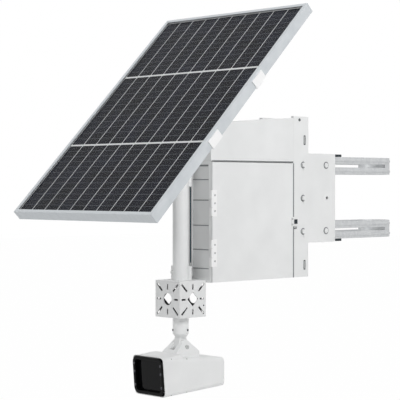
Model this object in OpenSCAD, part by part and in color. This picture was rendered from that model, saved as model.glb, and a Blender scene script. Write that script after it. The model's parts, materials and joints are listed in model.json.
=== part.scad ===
// Solar-powered security camera that clamps to a round mast.
// Millimetres, +Z up, the lens looks along -Y and the service door is on +X.
// Origin: the mast's axis, at the middle height of the lower hoop.

/* [Mast clamp] */
// Bore that the hoops close round the mast
clamp_d = 114; // [95:1:118]
// Height of each hoop band
hoop_h = 57; // [48:1:64]
// Thickness of the hoop band
hoop_t = 3; // [2:0.5:4]
// Height between the middles of the two hoops
hoop_pitch = 212; // [200:1:240]
// From the mast's axis to the tip of a hoop arm
hoop_arm = 336; // [325:1:345]
// From the mast's axis to the back of the bracket
mast_reach = 270; // [250:1:280]

/* [Bracket] */
// Height of the bracket channel
bracket_h = 286; // [284:1:330]
// Depth of the bracket channel
bracket_depth = 176; // [165:1:180]
// How far the channel stands out behind the cabinet's strips
bracket_show = 140; // [130:1:150]
// Thickness of the bracket plate
bracket_t = 3; // [2.5:0.5:4]
// How far a jaw stands out behind the bracket
jaw_reach = 50; // [35:1:60]

/* [Cabinet] */
// Width of the cabinet
cab_w = 150; // [140:1:180]
// Depth of the cabinet, with the rear strips
cab_depth = 433; // [415:1:500]
// Depth of the cabinet's closed box
cab_box_depth = 311; // [298:1:325]
// Height of the cabinet's box, up to the hood
cab_h = 365; // [340:1:400]
// Depth of the door
door_depth = 356; // [325:1:360]
// Height of the hood at the front
hood_front_h = 113; // [100:1:125]
// Slope of the hood's roof in degrees
roof_slope = 4.4; // [2:0.1:6]
// Thickness of the cabinet's sheet
sheet = 1.5; // [1.2:0.1:2]

/* [Pole] */
// Outside diameter of the pole
pole_d = 48.3; // [42:0.1:52]
// Wall of the pole
pole_wall = 2.9; // [2:0.1:4]
// From the cabinet's front to the pole's surface
saddle_len = 30.85; // [26:0.05:45]
// Height of the panel's tilt axis above the origin
pivot_z = 322; // [300:1:345]

/* [Solar panel] */
// Width of the panel, over its frame
panel_w = 615; // [560:1:680]
// Length of the panel, over its frame
panel_l = 872; // [800:1:960]
// Depth of the panel's frame
frame_h = 32; // [28:1:40]
// Tilt of the panel above level in degrees
panel_tilt = 45; // [35:1:55]
// From the tilt axis to the panel's face
panel_lift = 97.6; // [94:0.1:120]
// From the tilt axis down the slope to the panel's middle
panel_drop = 19.8; // [0:0.1:40]
// Distance between the middles of the cross rails
rail_pitch = 246; // [200:1:300]

/* [Camera] */
// Side of the square block under the pole
block_size = 107; // [96:1:110]
// Height of the block
block_h = 110; // [100:1:130]
// Outside diameter of the neck
neck_d = 48; // [44:1:56]
// Length of the neck
neck_h = 61; // [55:1:80]
// From the neck's foot down to the camera's tilt axis
eye_drop = 29; // [27:1:40]
// Width of the camera body
cam_w = 135; // [120:1:150]
// Length of the camera body
cam_l = 245; // [220:1:280]
// Height of the camera body at its front
cam_front_h = 118; // [105:1:130]
// Height of the camera body at its rear
cam_rear_h = 86; // [80:1:100]
// Diameter of the lens barrel
lens_d = 44; // [36:1:50]

/* [Hidden] */
$fn = 64;
eps = 0.01;

// clearances
slide_gap = 0.3;     // between plates that move past each other
bolt_gap = 0.15;     // round a bolt in its hole
fit_gap = 0.05;      // radial, running fits
seat_gap = 0.3;      // between a soft or curved piece and its seat
door_gap = 3;        // rain gap above the door
weld_gap = 0.05;     // between sheets that are welded edge to edge

// mast clamp, hoops and bracket
clamp_r = clamp_d/2;
rib_out = 2;                                // how far a hoop's rib stands out
rib_h = 7;
hoop_travel = 178;                          // how far the hoops slide in to clamp the mast
arm_slot_h = 11;
arm_slot_tip = 8;                           // from the arm's tip to its slot
arm_slot_end = 2;                           // from the slot to the bend
hoop_half_w = clamp_r + hoop_t + rib_out;
strip_out = cab_w/2 - 0.2;
strip_in = strip_out - sheet;               // the strips lie against the channel
bracket_out = strip_in;
bracket_in = bracket_out - bracket_t;       // half width inside the channel
bracket_rear = -mast_reach;
bracket_z = hoop_pitch/2 - bracket_h/2;
strip_rear = bracket_rear - bracket_show;
lock_bolt_r = 5;
lock_bolt_y = -hoop_arm + arm_slot_tip + lock_bolt_r + 0.5;
jaw_t = 8;
jaw_angle = 70;                             // half of the jaw's V
strip_bolt_r = 4;
strip_bolt_y = strip_rear - 25;
strip_bolt_z = [0, hoop_pitch/2, hoop_pitch];
channel_hole_y = bracket_rear - 47;

// cabinet, measured from its front face and its bottom
cab_y = strip_rear - cab_depth;
cab_z = hoop_pitch/2 - 251;
cab_half = cab_w/2;
door_front = 5;
door_end = door_front + door_depth;
strip_h = cab_h + hood_front_h + cab_depth*tan(roof_slope);
strip_front = door_end + 2;
door_skin_x = cab_half;
door_return = 10;
gasket_t = 3;
frame_x = cab_half - door_return - gasket_t;  // outer face of the wall behind the door
hang_low = 38;                               // hanging slots in the strips
hang_high = strip_h - 75;
door_top = cab_h - door_gap;
opening_front = 26;
opening_rear = cab_box_depth - 18;
opening_low = 18;
opening_high = cab_h - 22;
recess_left = -20;                          // edges of the cover on the front wall
recess_right = cab_half - 6.5;
pocket_left = recess_left + 11;             // edges of its pressed pocket
pocket_right = recess_right - 3;
recess_low = 8;
recess_high = cab_h - 11;
recess_deep = 5;
seal_x = recess_left + 2.5;
seal_w = 6;
seal_low = 57;
seal_high = 287;
hinge_z = [48, 199];                         // lower edges of the two hinges
hinge_h = [82, 79];
hinge_r = 3.6;
hinge_pin_r = 1.6;
hinge_x = cab_half + hinge_r + 0.2;
hinge_y = -0.6;
lock_z = 177;
lock_y = strip_front + 8;
lock_r = 7;
lock_cam_t = 2.5;
lock_core_r = 4.5;
lock_plate = [2, 28, 30];
lock_screw_y = door_end - 5;
screw_r = 1.5;
screw_share = [0.2, 0.5, 0.8];               // where a hinge's screws are, as shares of its height

// things inside the cabinet
inner_left = -cab_half + sheet;
battery = [104, 240, 170];
battery_y = 40;
strap_t = 2;
strap_w = 30;
controller = [42, 150, 92];
controller_z = cab_h - 110;
controller_y = 130;
rail_len = 90;
rail_z = cab_h - 65;
rail_y = 28;
breaker = [60, 18, 80];
toggle_r = 6;
toggle_lean = 25;                            // above level when switched on
gland_z = [66, 104];
gland_x = -45;
gland_r = 8;

// pole and saddles
pole_r = pole_d/2;
pole_y = cab_y - saddle_len - pole_r;
saddle_arm = 12;                             // thickness of the arm behind the pole
saddle_bolt_x = [-34, -52];
saddle_h = 40;
saddle_z = [cab_z + 8, cab_z + 289];
saddle_bolt_r = 4;
sleeve_wall = 5.8;
sleeve_h = 80;
yoke_drop = 30;                              // from the tilt axis to the yoke's cap
cap_t = 8;
sleeve_top = pivot_z - yoke_drop - cap_t;
pole_top = sleeve_top - seat_gap;
ear_t = 4;
ear_in = pole_r + sleeve_wall - ear_t;
pivot_r = 5;
eye_r = 20;
arc_r = 28;                                  // from the tilt axis to the tilt lock bolt
arc_bolt_r = 4;
arc_span = 34;
sector_r = arc_r + 12;

// solar panel, measured from the tilt axis with the panel laid level
rail_w = 50;
rail_depth = 18;                             // height of a rail's edges inside the frame
rail_t = 3;
rail_wrap = 25;                              // how far a rail's end climbs the frame's side
panel_v = -panel_drop;
under = panel_lift - frame_h;
rail_v = [panel_v - rail_pitch/2, panel_v + rail_pitch/2];
frame_lip = 11;
frame_wall = 2;
frame_foot = 26;
glass_t = 3.2;
lip_t = 2.5;
cell_cols = 10;
row_share = [0.98, 1.09, 0.93];              // heights of the cell rows, from the lower edge up
cell_area = [panel_w - 26, panel_l - 27];
cell_gap = 2.2;
row_gap = 7;
cell_t = 0.5;
back_t = 0.6;
laminate_t = glass_t + cell_t + back_t + 0.2;
glass_low = panel_lift - lip_t - glass_t;
sheet_size = [panel_w - 2*frame_wall - 1, panel_l - 2*frame_wall - 1];
rail_screw_x = [-panel_w/2 + frame_foot/2 + 2, panel_w/2 - frame_foot/2 - 2];
ear_top = under - rail_t - ear_t;            // underside of the plate that carries the ears
jbox = [110, 70, 18];
jbox_v = panel_l/2 - 120;

// block, neck and camera, measured from the pole's axis
block_top = cab_z + 8;
block_half = block_size/2;
block_wall = 2.5;
face_hole_r = 18;                            // round hole in the front and the rear
diamond = 31;                                // side of the square hole in the left and the right
block_low = block_top - block_h;
socket_deep = 22;                            // how far the pole enters the block
pole_low = block_top - socket_deep;
neck_low = block_low - neck_h;
eye_z = neck_low - eye_drop;
neck_screw_turn = [-118, 18];                // round the neck, from +X
spigot_r = 15;
spigot_h = 30;
tongue_w = 22;
tongue_eye_r = 19;
tilt_bolt_r = 4;
boss_half_x = 32.4;
boss_half_y = 46.5;
boss_peak_x = 22;
boss_peak_y = 7;
boss_side_h = 13;
bolt_seat_x = boss_peak_x + 4;               // seat of the tilt bolt's heads
bolt_head_r = 6.5;
boss_rise = 20;                              // from the camera's tilt axis to the boss's peak
boss_low = eye_z - 28;
cam_wall = 2.5;
cam_half = cam_w/2;
cam_front = -0.52*cam_l;
cam_rear = cam_front + cam_l;
cam_lean = 10;                               // how far the front's top leans forward
cam_fall = 19;                               // how far the top falls from front to rear
cam_top = boss_low + cam_fall*0.52;
bezel_t = 12;
bezel_wall = 3;
window_t = 2.5;
rear_cap_t = 3;
lens_z = cam_top - 0.45*cam_front_h;
lens_l = 62;
lens_y = cam_front + bezel_t + window_t + 2;
led_board_y = cam_front + 30;
main_board_y = cam_front + 92;
board_t = 1.6;

// ---------- helpers ----------

module at_cabinet() {
    translate([0, cab_y, cab_z]) children();
}

module at_pole() {
    translate([0, pole_y, 0]) children();
}

// local X across, Y up the slope, Z out of the glass, origin on the tilt axis
module at_panel() {
    translate([0, pole_y, pivot_z]) rotate([panel_tilt, 0, 0]) children();
}

// a box given by its lowest and highest corners
module block(low, high) {
    translate(low) cube(high - low);
}

// a round bar along X from x0 to x1
module bar_x(r, x0, x1) {
    translate([x0, 0, 0]) rotate([0, 90, 0]) cylinder(h = x1 - x0, r = r);
}

// a round bar along Y from y0 to y1
module bar_y(r, y0, y1) {
    translate([0, y0, 0]) rotate([-90, 0, 0]) cylinder(h = y1 - y0, r = r);
}

// an outline in Y and Z, drawn out along X
module prism_x(points, x0, x1) {
    translate([x0, 0, 0]) rotate([90, 0, 90]) linear_extrude(x1 - x0) polygon(points);
}

// an outline in X and Z, drawn out along Y
module prism_y(points, y0, y1) {
    translate([0, y1, 0]) rotate([90, 0, 0]) linear_extrude(y1 - y0) polygon(points);
}

// a hex bolt whose head sits on x = 0 and whose shank runs along -X
module bolt_x(r, length, head_r, head_h) {
    union() {
        bar_x(r, -length, 0);
        rotate([0, 90, 0]) cylinder(h = head_h, r = head_r, $fn = 6);
    }
}

// a hex nut on the bolt's far side, from x = 0 along -X
module nut_x(r, nut_r, nut_h) {
    difference() {
        translate([-nut_h, 0, 0]) rotate([0, 90, 0]) cylinder(h = nut_h, r = nut_r, $fn = 6);
        bar_x(r + bolt_gap, -nut_h - 1, 1);
    }
}

module both_sides() {
    children();
    mirror([1, 0, 0]) children();
}

// ---------- mast clamp and bracket ----------

// plan of a hoop's band: a half ring with two straight arms
module hoop_plan(inner, outer) {
    difference() {
        circle(r = outer, $fn = 128);
        circle(r = inner, $fn = 128);
        translate([-outer - 1, -2*outer]) square([2*outer + 2, 2*outer]);
    }
    for (side = [-1, 1])
        translate([side > 0 ? inner : -outer, -hoop_arm]) square([outer - inner, hoop_arm]);
}

module hoop() {
    arm_slot_len = hoop_arm - arm_slot_tip - arm_slot_end;
    difference() {
        union() {
            translate([0, 0, -hoop_h/2]) linear_extrude(hoop_h) hoop_plan(clamp_r, clamp_r + hoop_t);
            for (z = [-hoop_h/2 + 8, hoop_h/2 - 8 - rib_h])
                translate([0, 0, z]) linear_extrude(rib_h)
                    hoop_plan(clamp_r + hoop_t - eps, hoop_half_w);
        }
        translate([0, -hoop_arm + arm_slot_tip, 0])
            block([-hoop_half_w - 1, 0, -arm_slot_h/2], [hoop_half_w + 1, arm_slot_len, arm_slot_h/2]);
    }
}

module upper_hoop() {
    color("lightgray") translate([0, 0, hoop_pitch]) hoop();
}

module lower_hoop() {
    color("lightgray") hoop();
}

// an outline from y = front to y = rear with rounded corners at the rear
module rounded_end(half, front, rear, corner) {
    translate([-half, front]) square([2*half, rear - corner - front]);
    translate([-half + corner, front]) square([2*(half - corner), rear - front]);
    for (side = [-1, 1]) translate([side*(half - corner), rear - corner]) circle(r = corner);
}

module channel_plan() {
    corner = 12;
    front = bracket_rear - bracket_depth;
    difference() {
        rounded_end(bracket_out, front, bracket_rear, corner);
        rounded_end(bracket_in, front - 1, bracket_rear - bracket_t, corner - bracket_t);
    }
}

// the bracket: side plates and a rear web folded from one plate
module bracket_channel() {
    window_h = hoop_h + 2;
    window_in = clamp_r - 1;
    window_out = hoop_half_w + 1;
    color("gainsboro") difference() {
        translate([0, 0, bracket_z]) linear_extrude(bracket_h) channel_plan();
        // windows that the hoop arms pass through
        for (z = [0, hoop_pitch], side = [-1, 1])
            translate([side*(window_in + window_out)/2, bracket_rear, z])
                cube([window_out - window_in, 4*bracket_t, window_h], center = true);
        for (z = [0, hoop_pitch])
            translate([0, lock_bolt_y, z]) bar_x(lock_bolt_r + bolt_gap, -bracket_out - 1, bracket_out + 1);
        for (z = strip_bolt_z)
            translate([0, strip_bolt_y, z]) bar_x(strip_bolt_r + bolt_gap, -bracket_out - 1, bracket_out + 1);
        translate([0, channel_hole_y, hoop_pitch/2]) bar_x(5.5, -bracket_out - 1, bracket_out + 1);
    }
}

// three bolts on each side, through the strips' slots and the channel
module bracket_bolts() {
    color("whitesmoke") both_sides() for (z = strip_bolt_z) {
        translate([strip_out, strip_bolt_y, z]) {
            bolt_x(strip_bolt_r, strip_out - hoop_half_w - 1.2, 7.5, 5.5);
            translate([bracket_in - strip_out, 0, 0]) nut_x(strip_bolt_r, 7.5, 6.5);
        }
    }
}

// each side has a bolt through a spacer and the arm's slot, with a nut on the arm's inside
module hoop_lock_bolts() {
    color("whitesmoke") both_sides() for (z = [0, hoop_pitch]) {
        translate([bracket_out, lock_bolt_y, z])
            bolt_x(lock_bolt_r, bracket_out - clamp_r + 12, 8.5, 3);
        translate([clamp_r - slide_gap, lock_bolt_y, z]) nut_x(lock_bolt_r, 9, 8);
        translate([0, lock_bolt_y, z]) difference() {
            bar_x(9, hoop_half_w + slide_gap, bracket_in);
            bar_x(lock_bolt_r + bolt_gap, hoop_half_w, bracket_in + 1);
        }
    }
}

// a plate with a wide V that the mast beds in
module jaw_plan() {
    half = clamp_r - 3;
    apex = jaw_reach - (half - 4)/tan(jaw_angle);
    polygon([[-half, 0], [half, 0], [half, jaw_reach - 3], [half - 4, jaw_reach],
             [0, apex], [-half + 4, jaw_reach], [-half, jaw_reach - 3]]);
}

// toothed V jaws above the upper hoop and under the lower one
module pole_jaws() {
    color("darkslategray") for (z = [-hoop_h/2 - slide_gap - jaw_t, hoop_pitch + hoop_h/2 + slide_gap])
        translate([0, bracket_rear, z]) linear_extrude(jaw_t) jaw_plan();
}

// ---------- cabinet ----------

// room behind the front cover's slot and pocket
module cover_room() {
    block([seal_x - 1, -1, recess_low + 6], [pocket_right + 1, recess_deep + 0.5, recess_high - 6]);
}

// holes in the front wall, for the cover, the glands and the saddles' bolts
module front_wall_holes() {
    cover_room();
    for (z = gland_z) translate([gland_x, 0, z]) bar_y(gland_r + bolt_gap, -1, sheet + 1);
    for (z = saddle_z, x = saddle_bolt_x)
        translate([x, 0, z - cab_z + saddle_h/2]) bar_y(saddle_bolt_r + bolt_gap, -1, sheet + 1);
}

// welded sheets: front, rear, bottom, top, left side, and four strips round the door's opening
module cabinet_shell() {
    wall_in = frame_x - sheet;
    front = sheet + weld_gap;
    rear = cab_box_depth - sheet - weld_gap;
    low = sheet + weld_gap;
    high = cab_h - sheet - weld_gap;
    color("whitesmoke") at_cabinet() {
        difference() {
            block([-cab_half, 0, 0], [cab_half - 0.6, sheet, cab_h]);
            front_wall_holes();
        }
        block([-cab_half, cab_box_depth - sheet, 0], [frame_x, cab_box_depth, cab_h]);
        block([-cab_half, front, 0], [frame_x, rear, sheet]);
        difference() {
            block([-cab_half, front, cab_h - sheet], [frame_x, rear, cab_h]);
            hood_port(cab_h - sheet);
        }
        block([-cab_half, front, low], [-cab_half + sheet, rear, high]);
        difference() {
            union() {
                block([wall_in, front, low], [frame_x, rear, opening_low]);
                block([wall_in, front, opening_high], [frame_x, rear, high]);
                for (y = [[front, opening_front], [opening_rear, rear]])
                    block([wall_in, y[0], opening_low + weld_gap],
                          [frame_x, y[1], opening_high - weld_gap]);
            }
            cover_room();
        }
    }
}

// slots in a strip, one long hole for each bolt and two hanging slots
module strip_slots() {
    slot_r = strip_bolt_r + 0.5;
    for (z = strip_bolt_z) translate([0, strip_bolt_y - cab_y, z - cab_z]) {
        block([0, -slot_r, -14], [cab_w, slot_r, 8]);
        translate([0, 0, 8]) bar_x(slot_r, 0, cab_w);
        translate([0, 0, -14]) bar_x(slot_r, 0, cab_w);
    }
    for (z = [hang_low, hang_high]) translate([0, strip_bolt_y - cab_y + 7, z]) {
        block([0, -2.5, -11], [cab_w, 2.5, 11]);
        for (end = [-11, 11]) translate([0, 0, end]) bar_x(2.5, 0, cab_w);
    }
    translate([0, strip_bolt_y - cab_y - 17, strip_h - 11]) bar_x(3.5, 0, cab_w);
}

// upright slot that the lock's barrel and cam pass through
module lock_slot() {
    half = lock_r + 0.6;
    block([strip_in - 4, lock_y - half, lock_z - 24], [cab_w, lock_y + half, lock_z + half]);
}

// two folded strips behind the box; the bracket is bolted between them
module rear_strips() {
    web_out = hoop_half_w + 2;
    color("white") at_cabinet() both_sides() difference() {
        union() {
            block([strip_in, strip_front, 0], [strip_out, cab_depth, strip_h]);
            block([web_out, strip_front, 0], [strip_out, strip_front + sheet, strip_h]);
            block([web_out - sheet, cab_box_depth, 0], [web_out, strip_front + sheet, cab_h - 1]);
            block([web_out - 16, cab_box_depth, 0], [web_out, cab_box_depth + sheet, cab_h - 1]);
        }
        strip_slots();
        lock_slot();
    }
}

// lead opening between the cabinet and the hood, through sheet whose underside is at z
module hood_port(z) {
    block([-20, 60, z - 1], [20, 120, z + sheet + 1]);
}

// room for the upper hoop's arms, which slide into the hood
module arm_room() {
    arm_top = hoop_pitch + hoop_h/2 - cab_z - cab_h;
    arm_front = -hoop_arm - hoop_travel - cab_y;
    both_sides()
        block([clamp_r - 1.5, arm_front - 3, -1], [hoop_half_w + 1.5, strip_front + 1, arm_top + 2]);
}

// cover above the door: welded sheets under a roof that falls to the front
module roof_hood() {
    front = hood_front_h;
    rear = front + strip_front*tan(roof_slope);
    low = sheet + weld_gap;
    side = [[0, low], [strip_front, low], [strip_front, rear], [0, front]];
    roof = [[0, front - sheet], [strip_front, rear - sheet], [strip_front, rear], [0, front]];
    inside = cab_half - sheet - weld_gap;
    color("gainsboro") at_cabinet() translate([0, 0, cab_h]) {
        both_sides() prism_x(side, inside + weld_gap, cab_half);
        prism_x(roof, -inside, inside);
        block([-inside, 0, low], [inside, sheet, front - low]);
        difference() {
            union() {
                block([-cab_half, 0, 0], [cab_half, strip_front, sheet]);
                block([-inside, strip_front - sheet, sheet - eps],
                      [inside, strip_front, rear - low - sheet*tan(roof_slope)]);
            }
            hood_port(0);
            arm_room();
        }
    }
}

// cover beside the pole: an upright slot, then a pressed pocket with folded lines
module front_cover() {
    face = 0.8;
    lines = [40, 97, 170, 246];
    color("silver") at_cabinet() difference() {
        union() {
            block([recess_left, -face, recess_low], [recess_right, 0, recess_high]);
            block([pocket_left, -face, recess_low + 7], [pocket_right, recess_deep, recess_high - 7]);
        }
        block([pocket_left + face, -1, recess_low + 8],
              [pocket_right - face, recess_deep - face, recess_high - 8]);
        for (z = lines) block([pocket_left + face, 0, z], [pocket_right - face, recess_deep - face/2, z + 2]);
        block([seal_x, -1, seal_low], [seal_x + seal_w, 1, seal_high]);
    }
}

// rubber strip in the cover's upright slot, slit for a lead to pass through
module slot_seal() {
    lip = 1.5;
    middle = seal_x + seal_w/2;
    color("darkslategray") at_cabinet() difference() {
        union() {
            block([seal_x + 0.1, -0.5, seal_low + 0.1], [seal_x + seal_w - 0.1, eps, seal_high - 0.1]);
            block([seal_x - 0.5, 0, seal_low - lip], [seal_x + seal_w + lip, 2, seal_high + lip]);
        }
        block([middle - 0.4, -1, seal_low + 8], [middle + 0.4, 3, seal_high - 8]);
    }
}

// rubber frame between the wall and the closed door's folded edge
module door_gasket() {
    edge = 5;
    low = [frame_x, opening_front - edge - 8, opening_low - edge - 8];
    high = [frame_x + gasket_t - seat_gap, opening_rear + edge + 8, opening_high + edge + 8];
    color("black") at_cabinet() difference() {
        block(low, high);
        block([frame_x - 1, opening_front - 8, opening_low - 8],
              [frame_x + gasket_t + 1, opening_rear + 8, opening_high + 8]);
    }
}

// door skin with an inward frame that presses on the gasket
module door() {
    edge = 5;
    skin_in = door_skin_x - sheet;
    return_x = frame_x + gasket_t;
    color("whitesmoke") at_cabinet() difference() {
        union() {
            block([skin_in, door_front, 0], [door_skin_x, door_end, door_top]);
            difference() {
                block([return_x, door_front, 0], [skin_in + eps, door_end, door_top]);
                block([return_x - 1, door_front + sheet, sheet],
                      [skin_in + 1, door_end - sheet, door_top - sheet]);
            }
            // inner frame on the gasket
            difference() {
                block([return_x, opening_front - edge - 8, opening_low - edge - 8],
                      [skin_in + eps, opening_rear + edge + 8, opening_high + edge + 8]);
                block([return_x - 1, opening_front - 8, opening_low - 8],
                      [skin_in + 1, opening_rear + 8, opening_high + 8]);
            }
        }
        for (i = [0, 1], z = screw_share) translate([0, door_front + 9, hinge_z[i] + z*hinge_h[i]])
            bar_x(screw_r + bolt_gap, skin_in - 4, door_skin_x + 1);
        for (side = [-1, 1]) translate([0, lock_screw_y, lock_z + side*9])
            bar_x(screw_r + bolt_gap, skin_in - 4, door_skin_x + 1);
    }
}

// one knuckle of hinge i, from share a to share b of its height
module knuckle(i, a, b) {
    translate([hinge_x, hinge_y, hinge_z[i] + a*hinge_h[i]]) difference() {
        cylinder(h = (b - a)*hinge_h[i], r = hinge_r);
        translate([0, 0, -1]) cylinder(h = (b - a)*hinge_h[i] + 2, r = hinge_pin_r + fit_gap);
    }
}

// leaves on the cabinet's front corner, with the outer knuckles
module hinge_leaves_fixed() {
    leaf = 1.5;
    color("white") at_cabinet() for (i = [0, 1]) {
        for (ends = [[0, 0.33], [0.67, 1]]) {
            z0 = hinge_z[i] + ends[0]*hinge_h[i];
            z1 = hinge_z[i] + ends[1]*hinge_h[i];
            union() {
                knuckle(i, ends[0], ends[1]);
                difference() {
                    block([recess_right + 0.5, -leaf, z0], [hinge_x, 0, z1]);
                    translate([hinge_x, hinge_y, z0 - 1]) cylinder(h = z1 - z0 + 2, r = hinge_r - 0.4);
                }
            }
        }
    }
}

// leaves on the door, with the middle knuckles
module hinge_leaves_door() {
    leaf = 1.5;
    color("white") at_cabinet() for (i = [0, 1]) {
        z0 = hinge_z[i] + 0.34*hinge_h[i];
        z1 = hinge_z[i] + 0.66*hinge_h[i];
        difference() {
            union() {
                knuckle(i, 0.34, 0.66);
                difference() {
                    block([cab_half, hinge_y, z0], [cab_half + leaf, door_front + 18, z1]);
                    translate([hinge_x, hinge_y, z0 - 1]) cylinder(h = z1 - z0 + 2, r = hinge_r - 0.4);
                }
                block([cab_half, door_front + 1, hinge_z[i]],
                      [cab_half + leaf, door_front + 18, hinge_z[i] + hinge_h[i]]);
            }
            for (z = screw_share) translate([0, door_front + 9, hinge_z[i] + z*hinge_h[i]])
                bar_x(screw_r + bolt_gap, cab_half - 1, cab_half + 3);
        }
    }
}

module hinge_pins() {
    color("silver") at_cabinet() for (i = [0, 1]) translate([hinge_x, hinge_y, hinge_z[i]]) {
        cylinder(h = hinge_h[i], r = hinge_pin_r);
        for (z = [-1.2, hinge_h[i]]) translate([0, 0, z]) cylinder(h = 1.2, r = hinge_r - 0.4);
    }
}

// screws that hold the hinges and the lock's plate to the door
module door_screws() {
    color("silver") at_cabinet() {
        for (i = [0, 1], z = screw_share)
            translate([cab_half + 1.5, door_front + 9, hinge_z[i] + z*hinge_h[i]]) round_screw();
        for (side = [-1, 1])
            translate([cab_half + lock_plate[0], lock_screw_y, lock_z + side*9]) round_screw();
    }
}

// a small round-head screw along X, its head seated on x = 0
module round_screw() {
    union() {
        bar_x(screw_r, -6, 0);
        bar_x(2*screw_r, 0, 1.4);
    }
}

// plate on the door that reaches over the strip, with the lock's short barrel
module lock_body() {
    color("white") at_cabinet() difference() {
        union() {
            block([door_skin_x, lock_y - 18, lock_z - lock_plate[2]/2],
                  [door_skin_x + lock_plate[0], lock_y + 10, lock_z + lock_plate[2]/2]);
            translate([0, lock_y, lock_z]) bar_x(lock_r, strip_in + 0.3, door_skin_x + eps);
        }
        translate([0, lock_y, lock_z]) bar_x(lock_core_r + fit_gap, strip_in - 1, door_skin_x + 5);
        for (side = [-1, 1]) translate([0, lock_screw_y, lock_z + side*9])
            bar_x(screw_r + bolt_gap, door_skin_x - 1, door_skin_x + 5);
    }
}

// turning core with a square key face
module lock_core() {
    face = door_skin_x + lock_plate[0] + 0.2;
    color("black") at_cabinet() translate([0, lock_y, lock_z]) union() {
        bar_x(lock_core_r, strip_in - 3.2, face + eps);
        block([face, -6.5, -7], [face + 2, 6.5, 7]);
    }
}

// cam on the core's tail; turned back, it catches behind the strip
module lock_cam() {
    x0 = strip_in - 3;
    color("silver") at_cabinet() translate([0, lock_y, lock_z]) difference() {
        union() {
            bar_x(lock_r, x0, x0 + lock_cam_t);
            block([x0, -5, -20], [x0 + lock_cam_t, 5, 0]);
        }
        bar_x(lock_core_r + eps, x0 - 1, x0 + lock_cam_t + 1);
    }
}

// sealed cable entries on the front wall, behind the pole
module cabinet_glands() {
    color("dimgray") at_cabinet() for (z = gland_z) translate([gland_x, 0, z]) difference() {
        union() {
            bar_y(gland_r, -6, 9);
            rotate([90, 0, 0]) cylinder(h = 5, r = gland_r + 4, $fn = 6);
            bar_y(gland_r + 1, -17, -5);
            translate([0, sheet, 0]) rotate([-90, 0, 0]) cylinder(h = 4, r = gland_r + 4, $fn = 6);
        }
        bar_y(3, -20, 12);
    }
}

// ---------- inside the cabinet ----------

module battery_pack() {
    color("steelblue") at_cabinet() union() {
        block([inner_left, battery_y, sheet],
              [inner_left + battery[0], battery_y + battery[1], sheet + battery[2]]);
        for (y = [40, 70]) translate([inner_left + 30, battery_y + y, sheet + battery[2] - eps])
            cylinder(h = 9, r = 6);
    }
}

// strap over the battery, with feet on the cabinet's bottom and left side
module battery_strap() {
    y = battery_y + battery[1] - 80;
    x1 = inner_left + battery[0] + seat_gap;
    top = sheet + battery[2] + seat_gap;
    color("silver") at_cabinet() union() {
        block([x1, y, sheet], [x1 + strap_t, y + strap_w, top + strap_t]);
        block([inner_left, y, top], [x1 + strap_t, y + strap_w, top + strap_t]);
        block([inner_left, y, top], [inner_left + strap_t, y + strap_w, top + 22]);
        block([x1, y, sheet], [frame_x - sheet - 1, y + strap_w, sheet + strap_t]);
    }
}

module charge_controller() {
    fin = 2;
    low = [inner_left, controller_y, controller_z];
    color("darkslategray") at_cabinet() union() {
        block(low, low + controller);
        for (y = [12 : 12 : controller[1] - 12])
            block([low[0] + controller[0] - eps, low[1] + y, low[2] + 10],
                  [low[0] + controller[0] + 12, low[1] + y + fin, low[2] + controller[2] - 10]);
    }
}

// top-hat rail on the cabinet's left side
module din_rail() {
    color("silver") at_cabinet() translate([inner_left, rail_y, rail_z]) union() {
        block([0, 0, -12.5], [1, rail_len, 12.5]);
        for (side = [-1, 1]) {
            block([0, 0, side*12.5 - 0.5], [7, rail_len, side*12.5 + 0.5]);
            block([6, 0, side*15 - 2.5], [7, rail_len, side*15 + 2.5]);
        }
    }
}

module breaker_body() {
    x0 = inner_left + 7;
    color("whitesmoke") at_cabinet() translate([x0, rail_y + 8, rail_z - breaker[2]/2]) difference() {
        union() {
            block([0, 0, 0], [breaker[0] - 18, breaker[1], breaker[2]]);
            block([0, 0, 18], [breaker[0], breaker[1], breaker[2] - 18]);
        }
        // the toggle's well
        block([breaker[0] - 12, 5, 26], [breaker[0] + 1, breaker[1] - 5, breaker[2] - 26]);
        translate([breaker[0] - 5.5, 0, breaker[2]/2]) bar_y(1.5 + fit_gap, 0, breaker[1]);
    }
}

// switch lever on its own pin, in the breaker's well
module breaker_toggle() {
    x0 = inner_left + 7 + breaker[0] - 5.5;
    color("black") at_cabinet() translate([x0, rail_y + 8, rail_z]) union() {
        bar_y(1.5, 0, breaker[1]);
        bar_y(toggle_r - 1.5, 5.4, breaker[1] - 5.4);
        rotate([0, -toggle_lean, 0]) block([0, 6, -2], [15, breaker[1] - 6, 2]);
    }
}

module terminal_block() {
    ways = 6;
    pitch = 6;
    color("gray") at_cabinet() translate([inner_left + 7, rail_y + 32, rail_z - 22]) difference() {
        block([0, 0, 0], [36, ways*pitch, 44]);
        for (i = [0 : ways - 1], z = [9, 35])
            translate([30, (i + 0.5)*pitch, z]) bar_x(1.8, 0, 10);
    }
}

// ---------- pole ----------

module pole() {
    color("white") at_pole() difference() {
        translate([0, 0, pole_low]) cylinder(h = pole_top - pole_low, r = pole_r);
        translate([0, 0, pole_low - 1]) cylinder(h = pole_top - pole_low + 2, r = pole_r - pole_wall);
        for (z = saddle_z) translate([0, 0, z + saddle_h/2]) bar_y(saddle_bolt_r + bolt_gap, 0, pole_d);
    }
}

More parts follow.
